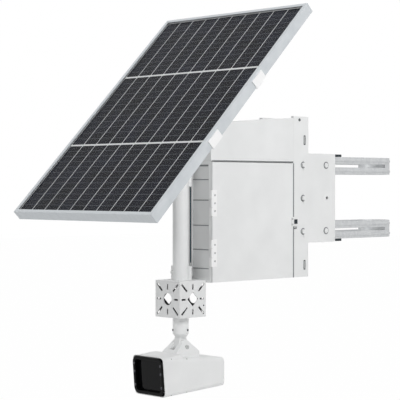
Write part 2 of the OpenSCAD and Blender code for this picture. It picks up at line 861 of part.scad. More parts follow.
// stand-offs between the pole and the cabinet's front wall
module pole_saddles() {
    rear = pole_r + saddle_len;
    color("white") at_pole() for (z = saddle_z) translate([0, 0, z]) difference() {
        union() {
            block([-60, pole_r - 8, 0], [10, pole_r + saddle_arm, saddle_h]);
            block([-60, pole_r - 8, 0], [-26, rear, saddle_h]);
        }
        translate([0, 0, -1]) cylinder(h = saddle_h + 2, r = pole_r + fit_gap);
        for (x = saddle_bolt_x) translate([x, 0, saddle_h/2]) bar_y(saddle_bolt_r + bolt_gap, 0, rear + 1);
        translate([0, 0, saddle_h/2]) bar_y(saddle_bolt_r + bolt_gap, 0, rear);
    }
}

// one bolt into the pole and two into the cabinet at each saddle
module saddle_bolts() {
    rear = pole_r + saddle_len;
    color("silver") at_pole() for (z = saddle_z) translate([0, 0, z + saddle_h/2]) {
        translate([0, pole_r + saddle_arm, 0]) rotate([0, 0, 90])
            bolt_x(saddle_bolt_r, saddle_arm + pole_wall + 6, 6.5, 5);
        for (x = saddle_bolt_x) translate([x, 0, 0]) {
            translate([0, pole_r - 8, 0]) rotate([0, 0, -90])
                bolt_x(saddle_bolt_r, rear - pole_r + 8 + sheet + 9, 6.5, 5);
            translate([0, rear + sheet, 0]) rotate([0, 0, -90]) nut_x(saddle_bolt_r, 6.5, 6);
        }
    }
}

// ---------- tilt head ----------

// sleeve that turns on the pole, closed by a cap that carries two ears
module yoke_sleeve() {
    outer = pole_r + sleeve_wall;
    color("white") at_pole() difference() {
        union() {
            translate([0, 0, sleeve_top - sleeve_h]) cylinder(h = sleeve_h, r = outer);
            translate([-outer, -22, sleeve_top]) cube([2*outer, 44, cap_t]);
            both_sides() {
                block([ear_in, -eye_r, sleeve_top], [ear_in + ear_t, eye_r, pivot_z]);
                translate([0, 0, pivot_z]) bar_x(eye_r, ear_in, ear_in + ear_t);
            }
        }
        translate([0, 0, sleeve_top - sleeve_h - 1]) cylinder(h = sleeve_h + 1, r = pole_r + fit_gap);
        translate([0, 0, pivot_z]) bar_x(pivot_r + bolt_gap, -outer - 1, outer + 1);
        for (turn = [0, 90]) rotate([0, 0, 45 + turn]) translate([0, 0, sleeve_top - 50])
            bar_x(4 + bolt_gap, 0, outer + 1);
        arc_bolt_hole(outer);
    }
}

// where the tilt lock bolts pass the ears
module arc_bolt_hole(reach) {
    both_sides() translate([0, 0, pivot_z - arc_r])
        bar_x(arc_bolt_r + bolt_gap, pole_r + 1.5, reach + 1);
}

// two set bolts that grip the pole
module yoke_clamp_bolts() {
    outer = pole_r + sleeve_wall;
    color("silver") at_pole() for (turn = [0, 90])
        rotate([0, 0, 45 + turn]) translate([outer + 0.6, 0, sleeve_top - 50])
            bolt_x(4, sleeve_wall + 0.6 - seat_gap, 6.5, 5);
}

// axle of the tilt head, with its nut
module tilt_pivot_bolt() {
    outer = ear_in + 2*ear_t + seat_gap;
    color("silver") at_pole() translate([0, 0, pivot_z]) {
        translate([outer + 0.2, 0, 0]) bolt_x(pivot_r, 2*outer + 11, 8.5, 6);
        translate([-outer - 0.2, 0, 0]) nut_x(pivot_r, 8.5, 8);
    }
}

// plan of a bracket ear: a sector plate round the tilt axis, with the lock bolt's arc slot
module sector_plan() {
    slot_r = arc_bolt_r + slide_gap;
    foot_half = 60;
    sector_half = sector_r*tan(arc_span/2 + 13);
    difference() {
        union() {
            circle(r = eye_r);
            polygon([[-eye_r, 0], [eye_r, 0], [foot_half, ear_top], [-foot_half, ear_top]]);
            intersection() {
                circle(r = sector_r);
                rotate(-90 - panel_tilt) polygon([[0, -eye_r + 3], [2*sector_r, -sector_half],
                                                   [2*sector_r, sector_half], [0, eye_r - 3]]);
            }
        }
        circle(r = pivot_r + fit_gap);
        intersection() {
            difference() {
                circle(r = arc_r + slot_r);
                circle(r = arc_r - slot_r);
            }
            rotate(-90 - panel_tilt) polygon([[0, 0], [2*arc_r, -2*arc_r*tan(arc_span/2)],
                                               [2*arc_r, 2*arc_r*tan(arc_span/2)]]);
        }
        for (end = [-1, 1]) rotate(-90 - panel_tilt + end*arc_span/2)
            translate([arc_r, 0]) circle(r = slot_r - 0.05);
    }
}

// plate under the two rails, with two sector ears outside the yoke's
module tilt_bracket() {
    x0 = ear_in + ear_t + slide_gap;
    color("white") at_panel() union() {
        both_sides() translate([x0, 0, 0]) rotate([90, 0, 90]) linear_extrude(ear_t) sector_plan();
        block([-60, rail_v[0] - rail_w/2, ear_top], [60, rail_v[1] + rail_w/2, ear_top + ear_t]);
    }
}

// one bolt on each side, through the yoke's ear and the arc slot
module tilt_lock_bolts() {
    x0 = ear_in + 2*ear_t + slide_gap;
    color("silver") at_pole() both_sides() translate([x0 + 0.3, 0, pivot_z - arc_r]) {
        bolt_x(arc_bolt_r, x0 + 0.3 - pole_r - 2, 8, 5);
    }
}

// ---------- solar panel ----------

// folded straps across the panel's back, whose ends climb the frame's sides
module cross_rails() {
    half = panel_w/2;
    edge_half = half - frame_foot - 2;
    color("white") at_panel() for (v = rail_v) translate([0, v - rail_w/2, 0]) {
        difference() {
            union() {
                block([-half - rail_t, 0, under - rail_t], [half + rail_t, rail_w, under]);
                for (y = [0, rail_w - rail_t])
                    block([-edge_half, y, under - eps], [edge_half, y + rail_t, under + rail_depth]);
                both_sides() block([half, 0, under - rail_t], [half + rail_t, rail_w, under + rail_wrap]);
            }
            for (x = rail_screw_x) translate([x, rail_w/2, under - 30]) cylinder(h = 40, r = 3 + bolt_gap);
        }
    }
}

// screws up through the rails into the frame's foot
module rail_screws() {
    color("silver") at_panel() for (v = rail_v, x = rail_screw_x)
        translate([x, v, under - rail_t]) union() {
            cylinder(h = rail_t + frame_wall + 5, r = 3);
            translate([0, 0, -3]) cylinder(h = 3, r = 5.5);
        }
}

// cross-section of the frame, from its outer face inwards and from its foot up
module frame_plan() {
    shelf = frame_h - lip_t - laminate_t;
    polygon([[0, 0], [frame_foot, 0], [frame_foot, frame_wall], [frame_wall, frame_wall],
             [frame_wall, shelf - frame_wall], [frame_lip + 2, shelf - frame_wall], [frame_lip + 2, shelf],
             [frame_wall, shelf], [frame_wall, frame_h - lip_t], [frame_lip, frame_h - lip_t],
             [frame_lip, frame_h], [0, frame_h]]);
}

// one length of frame along Y at x = 0, mitred at both ends; inwards is +X
module frame_bar(length) {
    deep = frame_foot + 1;
    intersection() {
        translate([0, length/2, 0]) rotate([90, 0, 0]) linear_extrude(length) frame_plan();
        linear_extrude(frame_h) polygon([[0, -length/2], [deep, -length/2 + deep],
                                         [deep, length/2 - deep], [0, length/2]]);
    }
}

module frame_sides() {
    color("gainsboro") at_panel() translate([0, panel_v, under])
        difference() {
            both_sides() translate([-panel_w/2, 0, 0]) frame_bar(panel_l);
            for (v = rail_v, x = rail_screw_x)
                translate([x, v - panel_v, -1]) cylinder(h = 6, r = 3 + bolt_gap);
        }
}

module frame_ends() {
    color("gainsboro") at_panel() translate([0, panel_v, under])
        for (turn = [90, -90]) rotate([0, 0, turn]) translate([-panel_l/2, 0, 0]) frame_bar(panel_w);
}

// angle pieces inside the frame's corners
module corner_keys() {
    leg = 40;
    t = 3;
    z0 = frame_wall + seat_gap;
    z1 = frame_h - lip_t - laminate_t - frame_wall - seat_gap;
    color("silver") at_panel() translate([0, panel_v, under])
        for (mx = [0, 1], my = [0, 1]) mirror([mx, 0, 0]) mirror([0, my, 0])
            translate([-panel_w/2 + frame_wall, -panel_l/2 + frame_wall, z0]) union() {
                cube([leg, t, z1 - z0]);
                cube([t, leg, z1 - z0]);
            }
}

// one sheet of the panel, centred on it
module laminate(size, low, thick) {
    block([-size[0]/2, panel_v - size[1]/2, low], [size[0]/2, panel_v + size[1]/2, low + thick]);
}

module panel_glass() {
    color("lightblue", 0.4) at_panel() laminate(sheet_size, glass_low, glass_t);
}

// the cell matrix, row by row from the panel's lower edge
module solar_cells() {
    cell_w = (cell_area[0] - (cell_cols - 1)*cell_gap)/cell_cols;
    third = (cell_area[1] - 2*row_gap)/3;
    row_low = [0, row_share[0]*third + row_gap, cell_area[1] - row_share[2]*third];
    color([0.08, 0.09, 0.13]) at_panel()
        for (i = [0 : cell_cols - 1], j = [0 : 2])
            translate([-cell_area[0]/2 + i*(cell_w + cell_gap),
                       panel_v - cell_area[1]/2 + row_low[j], glass_low - cell_t])
                cube([cell_w, row_share[j]*third, cell_t]);
}

module backsheet() {
    color("white") at_panel() laminate(sheet_size, glass_low - cell_t - back_t, back_t);
}

module junction_box() {
    low = glass_low - cell_t - back_t - jbox[2];
    color("black") at_panel() translate([0, panel_v + jbox_v, low]) union() {
        difference() {
            block([-jbox[0]/2, -jbox[1]/2, 0], [jbox[0]/2, jbox[1]/2, jbox[2]]);
            block([-jbox[0]/2 + 3, -jbox[1]/2 + 3, -1], [jbox[0]/2 - 3, jbox[1]/2 - 3, jbox[2] - 3]);
            for (side = [-1, 1]) translate([side*30, 0, jbox[2]/2]) bar_y(3, -jbox[1]/2 - 20, 0);
        }
        // lead glands
        for (side = [-1, 1]) translate([side*30, 0, jbox[2]/2]) difference() {
            bar_y(7, -jbox[1]/2 - 14, -jbox[1]/2 + eps);
            bar_y(3, -jbox[1]/2 - 20, 0);
        }
    }
}

module junction_box_lid() {
    low = glass_low - cell_t - back_t - jbox[2] - 3;
    color("dimgray") at_panel() translate([0, panel_v + jbox_v, low]) union() {
        block([-jbox[0]/2, -jbox[1]/2, 0], [jbox[0]/2, jbox[1]/2, 3]);
        difference() {
            block([-jbox[0]/2 + 3.3, -jbox[1]/2 + 3.3, 3 - eps], [jbox[0]/2 - 3.3, jbox[1]/2 - 3.3, 6]);
            block([-jbox[0]/2 + 5, -jbox[1]/2 + 5, 2], [jbox[0]/2 - 5, jbox[1]/2 - 5, 7]);
        }
    }
}

// ---------- block and neck ----------

// slots of one face: four long diagonal ones and four short straight ones
module face_slots() {
    reach = block_half - 8;
    for (turn = [0 : 90 : 270]) rotate(turn) {
        translate([reach - 17, -2.6]) square([17, 5.2]);
        rotate(45) translate([0.62*block_half, -3]) square([0.58*block_half, 6]);
    }
}

// cube of welded plates, open underneath: a top, and four sides with a hole and eight slots each
module block_shell() {
    side_top = block_h - block_wall - weld_gap;
    inside = block_half - block_wall;
    color("gainsboro") at_pole() translate([0, 0, block_low]) {
        difference() {
            block([-block_half, -block_half, block_h - block_wall], [block_half, block_half, block_h]);
            cylinder(h = 2*block_h, r = pole_r + bolt_gap);
        }
        for (turn = [0, 180]) rotate(turn) difference() {
            block([-block_half, -block_half, 0], [block_half, -inside, side_top]);
            translate([0, 0, block_h/2]) rotate([90, 0, 0]) linear_extrude(block_size) {
                circle(r = face_hole_r);
                face_slots();
            }
        }
        for (turn = [90, 270]) rotate(turn) difference() {
            block([-inside + weld_gap, -block_half, 0], [inside - weld_gap, -inside, side_top]);
            translate([0, 0, block_h/2]) rotate([90, 0, 0]) linear_extrude(block_size) {
                rotate(45) square(diamond, center = true);
                face_slots();
                translate([block_half - 9, -21]) circle(r = 2.5);
            }
        }
    }
}

// plate that closes the block's underside and carries the pole's socket and the neck
module block_base() {
    inner = block_half - block_wall - seat_gap;
    color("whitesmoke") at_pole() difference() {
        union() {
            block([-inner, -inner, block_low], [inner, inner, block_low + 4]);
            for (sx = [-1, 1], sy = [-1, 1]) translate([sx*(inner - 9), sy*(inner - 9), block_low])
                cylinder(h = block_h - block_wall - seat_gap, r = 4);
        }
        translate([0, 0, block_low - 1]) cylinder(h = 6, r = 9);
    }
}

// tube under the block that the swivel arm turns in
module camera_neck() {
    r = neck_d/2;
    color("white") at_pole() difference() {
        union() {
            translate([0, 0, neck_low + 10]) cylinder(h = neck_h - 10, r = r);
            translate([0, 0, neck_low]) cylinder(h = 10 + eps, r1 = r - 7, r2 = r, $fn = 96);
        }
        translate([0, 0, neck_low - 1]) cylinder(h = spigot_h + 1, r = spigot_r + fit_gap);
        translate([0, 0, neck_low + spigot_h - eps]) cylinder(h = neck_h, r = 9);
        for (turn = neck_screw_turn) rotate([0, 0, turn]) translate([0, 0, neck_low + 21])
            bar_x(3.5 + bolt_gap, 0, r + 1);
    }
}

// hex set screws that lock the swivel arm
module neck_set_screws() {
    r = neck_d/2;
    color("black") at_pole() for (turn = neck_screw_turn) rotate([0, 0, turn])
        translate([0, 0, neck_low + 21]) difference() {
            bar_x(3.5, spigot_r + seat_gap, r + 1.5);
            translate([r - 2, 0, 0]) rotate([0, 90, 0]) cylinder(h = 5, r = 2, $fn = 6);
        }
}

// spigot in the neck and the tongue that holds the camera's tilt bolt
module swivel_arm() {
    top = neck_low - slide_gap;
    outline = [[-14, top], [-tongue_eye_r, eye_z], [tongue_eye_r, eye_z], [13, top]];
    color("white") at_pole() difference() {
        union() {
            translate([0, 0, neck_low - 1]) cylinder(h = spigot_h, r = spigot_r);
            translate([0, 0, neck_low - 2 - slide_gap]) cylinder(h = 2, r = spigot_r + 1);
            prism_x(outline, -tongue_w/2, tongue_w/2);
            translate([0, 0, eye_z]) bar_x(tongue_eye_r, -tongue_w/2, tongue_w/2);
        }
        translate([0, 0, neck_low - 30]) cylinder(h = spigot_h + 40, r = 5);
        translate([0, 0, eye_z]) bar_x(tilt_bolt_r + fit_gap, -40, 40);
    }
}

module camera_tilt_bolt() {
    color("gray") at_pole() translate([0, 0, eye_z]) union() {
        bar_x(tilt_bolt_r, -bolt_seat_x - 1, bolt_seat_x + 1);
        both_sides() difference() {
            bar_x(bolt_head_r, bolt_seat_x + 0.1, bolt_seat_x + 4.5);
            translate([bolt_seat_x + 2, 0, 0]) rotate([0, 90, 0]) cylinder(h = 5, r = 3, $fn = 6);
        }
    }
}

// ---------- camera ----------

// heights of the body's top and floor at a place along its length
function top_at(y) = cam_top - cam_fall*(y - cam_front)/cam_l;
function floor_at(y) = cam_top - cam_front_h
    + (cam_front_h - cam_rear_h - cam_fall)*(y - cam_front)/cam_l;

// how far the slanted front lies behind cam_front at height z
function lean_at(z) = -cam_lean*(z - cam_top + cam_front_h/2)/cam_front_h;

// the body's solid form, shrunk by a wall, from y0 (slanted) to y1 (upright)
module body_slab(wall, y0, y1) {
    top0 = top_at(y0) - wall;
    low0 = floor_at(y0) + wall;
    prism_x([[y0 + lean_at(top0), top0], [y0 + lean_at(low0), low0], [y1, floor_at(y1) + wall],
             [y1, top_at(y1) - wall]], -cam_half + wall, cam_half - wall);
}

// a plate parallel to the slanted front, from y0 to y1, smaller than the body by a wall
module front_plate(wall, y0, y1) {
    front_edge = [for (z = [top_at(y0) - wall, floor_at(y0) + wall]) [y0 + lean_at(z), z]];
    rear_edge = [for (z = [floor_at(y1) + wall, top_at(y1) - wall]) [y1 + lean_at(z), z]];
    prism_x(concat(front_edge, rear_edge), -cam_half + wall, cam_half - wall);
}

// roof-shaped foot on the camera, with two ears round the swivel arm's eye
module camera_boss() {
    peak = eye_z + boss_rise;
    side = boss_low + boss_side_h;
    low = boss_low - 4;
    color("white") at_pole() difference() {
        intersection() {
            prism_x([[-boss_half_y, low], [boss_half_y, low], [boss_half_y, side], [boss_peak_y, peak],
                     [-boss_peak_y, peak], [-boss_half_y, side]], -boss_half_x, boss_half_x);
            prism_y([[-boss_half_x, low], [boss_half_x, low], [boss_half_x, side], [boss_peak_x, peak],
                     [-boss_peak_x, peak], [-boss_half_x, side]], -boss_half_y, boss_half_y);
        }
        // the slot that the arm tilts in
        block([-tongue_w/2 - slide_gap, -boss_half_y + 9, boss_low + 4],
              [tongue_w/2 + slide_gap, boss_half_y + 1, peak + 1]);
        translate([0, 0, eye_z]) bar_x(tilt_bolt_r + fit_gap, -cam_w, cam_w);
        both_sides() translate([0, 0, eye_z]) bar_x(bolt_head_r + seat_gap, bolt_seat_x, cam_w);
        body_slab(0, cam_front, cam_rear);
    }
}

// white housing, open at the front and the rear
module camera_body() {
    color("white") at_pole() difference() {
        body_slab(0, cam_front, cam_rear);
        body_slab(cam_wall, cam_front - 1, cam_rear + 1);
        // lead hole under the foot
        translate([0, 30, boss_low - 12]) cylinder(h = 14, r = 4);
    }
}

// black frame round the front window
module camera_bezel() {
    edge = cam_wall + 0.5;
    color("black") at_pole() difference() {
        front_plate(edge, cam_front - 1.5, cam_front + bezel_t);
        front_plate(edge + bezel_wall, cam_front - 2.5, cam_front + bezel_t - 2);
        front_plate(edge + bezel_wall + 3, cam_front, cam_front + bezel_t + 1);
    }
}

// dark glass window in the frame
module camera_window() {
    edge = cam_wall + 0.5 + bezel_wall + 0.2;
    color("black", 0.8) at_pole()
        front_plate(edge, cam_front + bezel_t - 2 - window_t, cam_front + bezel_t - 2);
}

// barrel with a stepped mouth and its lens
module lens_barrel() {
    r = lens_d/2;
    color("darkslategray") at_pole() translate([0, 0, lens_z]) difference() {
        union() {
            bar_y(r, lens_y, led_board_y - seat_gap);
            bar_y(r - 3, lens_y, lens_y + lens_l - 6);
            bar_y(r - 6, lens_y, main_board_y - seat_gap);
        }
        bar_y(r - 4, lens_y - 1, lens_y + 4);
        bar_y(r - 8, lens_y - 1, lens_y + 9);
    }
}

// board behind the window that carries the lamps round the lens
module led_board() {
    half = cam_half - cam_wall - seat_gap;
    low = floor_at(led_board_y) + cam_wall + seat_gap;
    high = top_at(led_board_y + 2) - cam_wall - seat_gap;
    color("darkgreen") at_pole() difference() {
        union() {
            block([-half, led_board_y, low], [half, led_board_y + board_t, high]);
            for (sx = [-1, 1], dz = [-26, 22]) translate([sx*45, 0, lens_z + dz])
                bar_y(6, led_board_y - 5, led_board_y + eps);
        }
        translate([0, 0, lens_z]) bar_y(lens_d/2 - 3 + bolt_gap, led_board_y - 10, led_board_y + 10);
    }
}

// main board across the middle of the body
module main_board() {
    half = cam_half - cam_wall - seat_gap;
    low = floor_at(main_board_y + board_t) + cam_wall + seat_gap;
    high = top_at(main_board_y + board_t) - cam_wall - seat_gap;
    color("darkgreen") at_pole() union() {
        block([-half, main_board_y, low], [half, main_board_y + board_t, high]);
        block([-22, main_board_y + board_t - eps, low + 20], [22, main_board_y + 14, low + 58]);
        block([34, main_board_y + board_t - eps, low + 12], [54, main_board_y + 22, low + 40]);
    }
}

// plate that closes the rear of the body
module camera_rear_cap() {
    inner = cam_wall + seat_gap;
    color("white") at_pole() difference() {
        block([-cam_half + inner, cam_rear - rear_cap_t, floor_at(cam_rear) + inner],
              [cam_half - inner, cam_rear, top_at(cam_rear) - inner]);
        for (sx = [-1, 1], z = [top_at(cam_rear) - 14, floor_at(cam_rear) + 14])
            translate([sx*(cam_half - 14), 0, z]) bar_y(3, cam_rear - 1.2, cam_rear + 1);
    }
}

bracket_channel();
bracket_bolts();
pole_jaws();
hoop_lock_bolts();
upper_hoop();
lower_hoop();
cabinet_shell();
rear_strips();
roof_hood();
front_cover();
slot_seal();
door_gasket();
hinge_leaves_fixed();
hinge_pins();
cabinet_glands();
battery_pack();
battery_strap();
charge_controller();
din_rail();
breaker_body();
breaker_toggle();
terminal_block();
door();
hinge_leaves_door();
door_screws();
lock_body();
lock_core();
lock_cam();
pole();
pole_saddles();
saddle_bolts();
yoke_sleeve();
yoke_clamp_bolts();
tilt_pivot_bolt();
tilt_bracket();
tilt_lock_bolts();
cross_rails();
rail_screws();
frame_sides();
frame_ends();
corner_keys();
panel_glass();
solar_cells();
backsheet();
junction_box();
junction_box_lid();
block_shell();
block_base();
camera_neck();
neck_set_screws();
swivel_arm();
camera_tilt_bolt();
camera_boss();
camera_body();
camera_bezel();
camera_window();
lens_barrel();
led_board();
main_board();
camera_rear_cap();
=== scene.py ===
"""Looks of the solar-powered security camera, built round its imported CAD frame.

Metres, +Z up, the lens looks along -Y and the service door is on +X.
"""
import json
import math

import bpy
from mathutils import Matrix, Vector

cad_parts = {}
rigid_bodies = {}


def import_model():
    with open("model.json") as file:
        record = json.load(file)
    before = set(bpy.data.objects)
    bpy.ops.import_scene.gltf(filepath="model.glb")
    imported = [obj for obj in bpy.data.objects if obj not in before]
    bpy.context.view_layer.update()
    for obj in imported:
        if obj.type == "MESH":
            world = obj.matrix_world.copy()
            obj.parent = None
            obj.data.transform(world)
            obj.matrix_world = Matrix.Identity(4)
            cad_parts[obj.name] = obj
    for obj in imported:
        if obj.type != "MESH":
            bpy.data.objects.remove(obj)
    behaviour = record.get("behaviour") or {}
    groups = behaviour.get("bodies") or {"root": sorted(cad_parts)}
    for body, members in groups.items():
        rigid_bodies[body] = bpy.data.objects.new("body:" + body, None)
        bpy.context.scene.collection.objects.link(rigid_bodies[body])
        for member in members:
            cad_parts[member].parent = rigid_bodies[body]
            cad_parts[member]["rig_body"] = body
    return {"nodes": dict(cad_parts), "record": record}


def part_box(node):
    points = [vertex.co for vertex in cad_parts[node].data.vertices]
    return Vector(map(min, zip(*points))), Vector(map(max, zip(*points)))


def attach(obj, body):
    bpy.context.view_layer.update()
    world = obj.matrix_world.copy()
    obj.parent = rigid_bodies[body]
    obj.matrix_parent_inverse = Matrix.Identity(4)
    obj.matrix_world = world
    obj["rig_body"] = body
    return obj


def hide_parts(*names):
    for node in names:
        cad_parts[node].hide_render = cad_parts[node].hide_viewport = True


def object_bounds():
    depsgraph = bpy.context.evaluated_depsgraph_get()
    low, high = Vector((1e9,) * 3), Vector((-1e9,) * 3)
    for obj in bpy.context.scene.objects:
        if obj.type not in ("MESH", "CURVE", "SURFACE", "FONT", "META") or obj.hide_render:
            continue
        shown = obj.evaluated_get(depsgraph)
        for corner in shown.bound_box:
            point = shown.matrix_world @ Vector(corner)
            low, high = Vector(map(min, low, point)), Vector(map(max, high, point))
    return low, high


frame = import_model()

cad_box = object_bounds()
MM = 0.001
scene = bpy.context.scene

# ---------------------------------------------------------------- camera

cam_data = bpy.data.cameras.new("view_camera")
cam_data.lens = 126
cam_data.sensor_width = 36
view_camera = bpy.data.objects.new("view_camera", cam_data)
view_camera.location = (3.0845, -3.7551, 0.147)
view_camera.rotation_euler = (math.radians(89.4), 0, math.radians(46.4))
scene.collection.objects.link(view_camera)
scene.camera = view_camera
scene.view_settings.view_transform = "Standard"

# ---------------------------------------------------------------- places read from the frame


def corner_low(node):
    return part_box(node)[0]


def corner_high(node):
    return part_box(node)[1]


pole_y = (corner_low("pole").y + corner_high("pole").y) / 2
pivot_z = (corner_low("tilt_pivot_bolt").z + corner_high("tilt_pivot_bolt").z) / 2
glass_face = max(frame["nodes"]["panel_glass"].data.polygons, key=lambda p: p.area * p.normal.z)
panel_tilt = math.atan2(-glass_face.normal.y, glass_face.normal.z)
panel_place = Matrix.Translation((0, pole_y, pivot_z)) @ Matrix.Rotation(panel_tilt, 4, "X")


def panel_box(node):
    """Lowest and highest corner of a node in the panel's own axes, its face laid level."""
    back = panel_place.inverted()
    points = [back @ v.co for v in frame["nodes"][node].data.vertices]
    low = Vector([min(p[i] for p in points) for i in range(3)])
    high = Vector([max(p[i] for p in points) for i in range(3)])
    return low, high


# ---------------------------------------------------------------- materials


def srgb(code):
    """A colour written as a hex code, made linear, with alpha 1."""
    parts = [int(code[i:i + 2], 16) / 255 for i in (0, 2, 4)]
    return tuple(c / 12.92 if c <= 0.04045 else ((c + 0.055) / 1.055) ** 2.4 for c in parts) + (1.0,)


def add(tree, kind, inputs=None, **settings):
    """One shader node with its settings, and its inputs set or linked."""
    made = tree.nodes.new(kind)
    for key, value in settings.items():
        setattr(made, key, value)
    for key, value in (inputs or {}).items():
        if isinstance(value, bpy.types.NodeSocket):
            tree.links.new(value, made.inputs[key])
        else:
            made.inputs[key].default_value = value
    return made


def new_material(name):
    """A material with a Principled shader, and the piece's own coordinates in millimetres."""
    made = bpy.data.materials.new(name)
    made.use_nodes = True
    tree = made.node_tree
    shader = tree.nodes["Principled BSDF"]
    place = add(tree, "ShaderNodeTexCoord").outputs["Object"]
    in_mm = add(tree, "ShaderNodeVectorMath", {0: place, 1: (1000, 1000, 1000)}, operation="MULTIPLY")
    return made, tree, shader, in_mm.outputs[0]


def two_tone(tree, factor, first, second, low=0.3, high=0.7):
    """Colour that runs from the first to the second as the factor goes from low to high."""
    ramp = add(tree, "ShaderNodeValToRGB", {"Fac": factor})
    ramp.color_ramp.elements[0].position = low
    ramp.color_ramp.elements[0].color = srgb(first)
    ramp.color_ramp.elements[1].position = high
    ramp.color_ramp.elements[1].color = srgb(second)
    return ramp.outputs["Color"]


def spread(tree, factor, low, high):
    """A number that runs from low to high as the factor goes from 0 to 1."""
    return add(tree, "ShaderNodeMapRange", {"Value": factor, "To Min": low, "To Max": high}).outputs[0]


def powder_coat(name, light, dark):
    """Polyester powder coat on steel: a satin skin with a faint orange peel and a little dust in its tone."""
    made, tree, shader, mm = new_material(name)
    # orange peel is about 1.5 mm across; it is drawn at 3 mm so that it shows
    peel = add(tree, "ShaderNodeTexNoise", {"Vector": mm, "Scale": 1 / 3, "Detail": 2})
    cloud = add(tree, "ShaderNodeTexNoise", {"Vector": mm, "Scale": 1 / 90, "Detail": 4})
    tree.links.new(two_tone(tree, cloud.outputs[0], dark, light), shader.inputs["Base Color"])
    tree.links.new(spread(tree, peel.outputs[0], 0.34, 0.5), shader.inputs["Roughness"])
    bump = add(tree, "ShaderNodeBump", {"Height": peel.outputs[0], "Strength": 0.05, "Distance": 0.0002})
    tree.links.new(bump.outputs[0], shader.inputs["Normal"])
    shader.inputs["IOR"].default_value = 1.5
    return made


def paint_in_shade(made, mask, shade_colour):
    """Painted shade: a dark colour in place of the coat where the mask is 1."""
    tree = made.node_tree
    shader = tree.nodes["Principled BSDF"]
    coat = shader.inputs["Base Color"].links[0].from_socket
    mixed = add(tree, "ShaderNodeMix", {"Factor": mask}, data_type="RGBA")
    tree.links.new(coat, mixed.inputs[6])
    mixed.inputs[7].default_value = srgb(shade_colour)
    tree.links.new(mixed.outputs[2], shader.inputs["Base Color"])
    return made


def shade_above(name, light, dark, shade_colour, level):
    """Powder coat that stops at a level, with painted shade, a dark colour, above it."""
    made = powder_coat(name, light, dark)
    tree = made.node_tree
    place = add(tree, "ShaderNodeTexCoord").outputs["Object"]
    height = add(tree, "ShaderNodeSeparateXYZ", {0: place}).outputs["Z"]
    above = add(tree, "ShaderNodeMath", {0: height, 1: level}, operation="GREATER_THAN")
    return paint_in_shade(made, above.outputs[0], shade_colour)


def shade_inside(name, light, dark, shade_colour, centre, ways):
    """Powder coat outside, and painted shade, a dark colour, on the faces that look towards the piece's
    middle.
    """
    made = powder_coat(name, light, dark)
    tree = made.node_tree
    place = add(tree, "ShaderNodeTexCoord").outputs["Object"]
    out = add(tree, "ShaderNodeVectorMath", {0: place, 1: centre}, operation="SUBTRACT")
    out = add(tree, "ShaderNodeVectorMath", {0: out.outputs[0], 1: ways}, operation="MULTIPLY")
    facing = add(tree, "ShaderNodeVectorMath",
                 {0: out.outputs[0], 1: add(tree, "ShaderNodeNewGeometry").outputs["True Normal"]},
                 operation="DOT_PRODUCT")
    inner = add(tree, "ShaderNodeMath", {0: facing.outputs["Value"], 1: -0.02}, operation="LESS_THAN")
    return paint_in_shade(made, inner.outputs[0], shade_colour)


def galvanised_steel():
    """Hot-dip galvanised strip: a grey metal with soft spangles about 9 mm across."""
    made, tree, shader, mm = new_material("galvanised_steel")
    spangle = add(tree, "ShaderNodeTexVoronoi", {"Vector": mm, "Scale": 1 / 9})
    tone = add(tree, "ShaderNodeSeparateColor", {"Color": spangle.outputs["Color"]})
    tree.links.new(two_tone(tree, tone.outputs[0], "c6c8ca", "d1d3d4", 0, 1), shader.inputs["Base Color"])
    tree.links.new(spread(tree, tone.outputs[1], 0.42, 0.6), shader.inputs["Roughness"])
    shader.inputs["Metallic"].default_value = 0.5
    return made


def anodised_aluminium():
    """Satin clear-anodised extrusion: pale metal with fine die lines along its length."""
    made, tree, shader, mm = new_material("anodised_aluminium")
    along = add(tree, "ShaderNodeVectorMath", {0: mm, 1: (1 / 1.2, 1 / 40, 1 / 40)}, operation="MULTIPLY")
    lines = add(tree, "ShaderNodeTexNoise", {"Vector": along.outputs[0], "Scale": 1, "Detail": 3})
    tree.links.new(two_tone(tree, lines.outputs[0], "c3c8cc", "d0d4d7"), shader.inputs["Base Color"])
    tree.links.new(spread(tree, lines.outputs[0], 0.42, 0.56), shader.inputs["Roughness"])
    shader.inputs["Metallic"].default_value = 0.35
    return made


def zinc_plate():
    """Bright zinc on fasteners: a clean grey metal with a slight mottle."""
    made, tree, shader, mm = new_material("zinc_plated_steel")
    mottle = add(tree, "ShaderNodeTexNoise", {"Vector": mm, "Scale": 1 / 2.5, "Detail": 3})
    tree.links.new(two_tone(tree, mottle.outputs[0], "b4b6b6", "d0d1d0"), shader.inputs["Base Color"])
    tree.links.new(spread(tree, mottle.outputs[0], 0.3, 0.45), shader.inputs["Roughness"])
    shader.inputs["Metallic"].default_value = 0.8
    return made


def black_oxide():
    """Oiled black oxide on steel: blue-black, with rubbed patches."""
    made, tree, shader, mm = new_material("black_oxide_steel")
    rubbed = add(tree, "ShaderNodeTexNoise", {"Vector": mm, "Scale": 1 / 7, "Detail": 5})
    tree.links.new(two_tone(tree, rubbed.outputs[0], "141c22", "26323a"), shader.inputs["Base Color"])
    tree.links.new(spread(tree, rubbed.outputs[0], 0.4, 0.6), shader.inputs["Roughness"])
    shader.inputs["Metallic"].default_value = 0.3
    return made


def moulded_plastic(name, dark, light, rough_low, rough_high, grain_mm, gloss=0.5):
    """Injection-moulded plastic with the fine spark grain of its mould."""
    made, tree, shader, mm = new_material(name)
    grain = add(tree, "ShaderNodeTexNoise", {"Vector": mm, "Scale": 1 / grain_mm, "Detail": 3})
    tree.links.new(two_tone(tree, grain.outputs[0], dark, light), shader.inputs["Base Color"])
    tree.links.new(spread(tree, grain.outputs[0], rough_low, rough_high), shader.inputs["Roughness"])
    bump = add(tree, "ShaderNodeBump", {"Height": grain.outputs[0], "Strength": 0.08, "Distance": 0.0002})
    tree.links.new(bump.outputs[0], shader.inputs["Normal"])
    shader.inputs["IOR"].default_value = 1.49
    shader.inputs["Specular IOR Level"].default_value = gloss
    return made


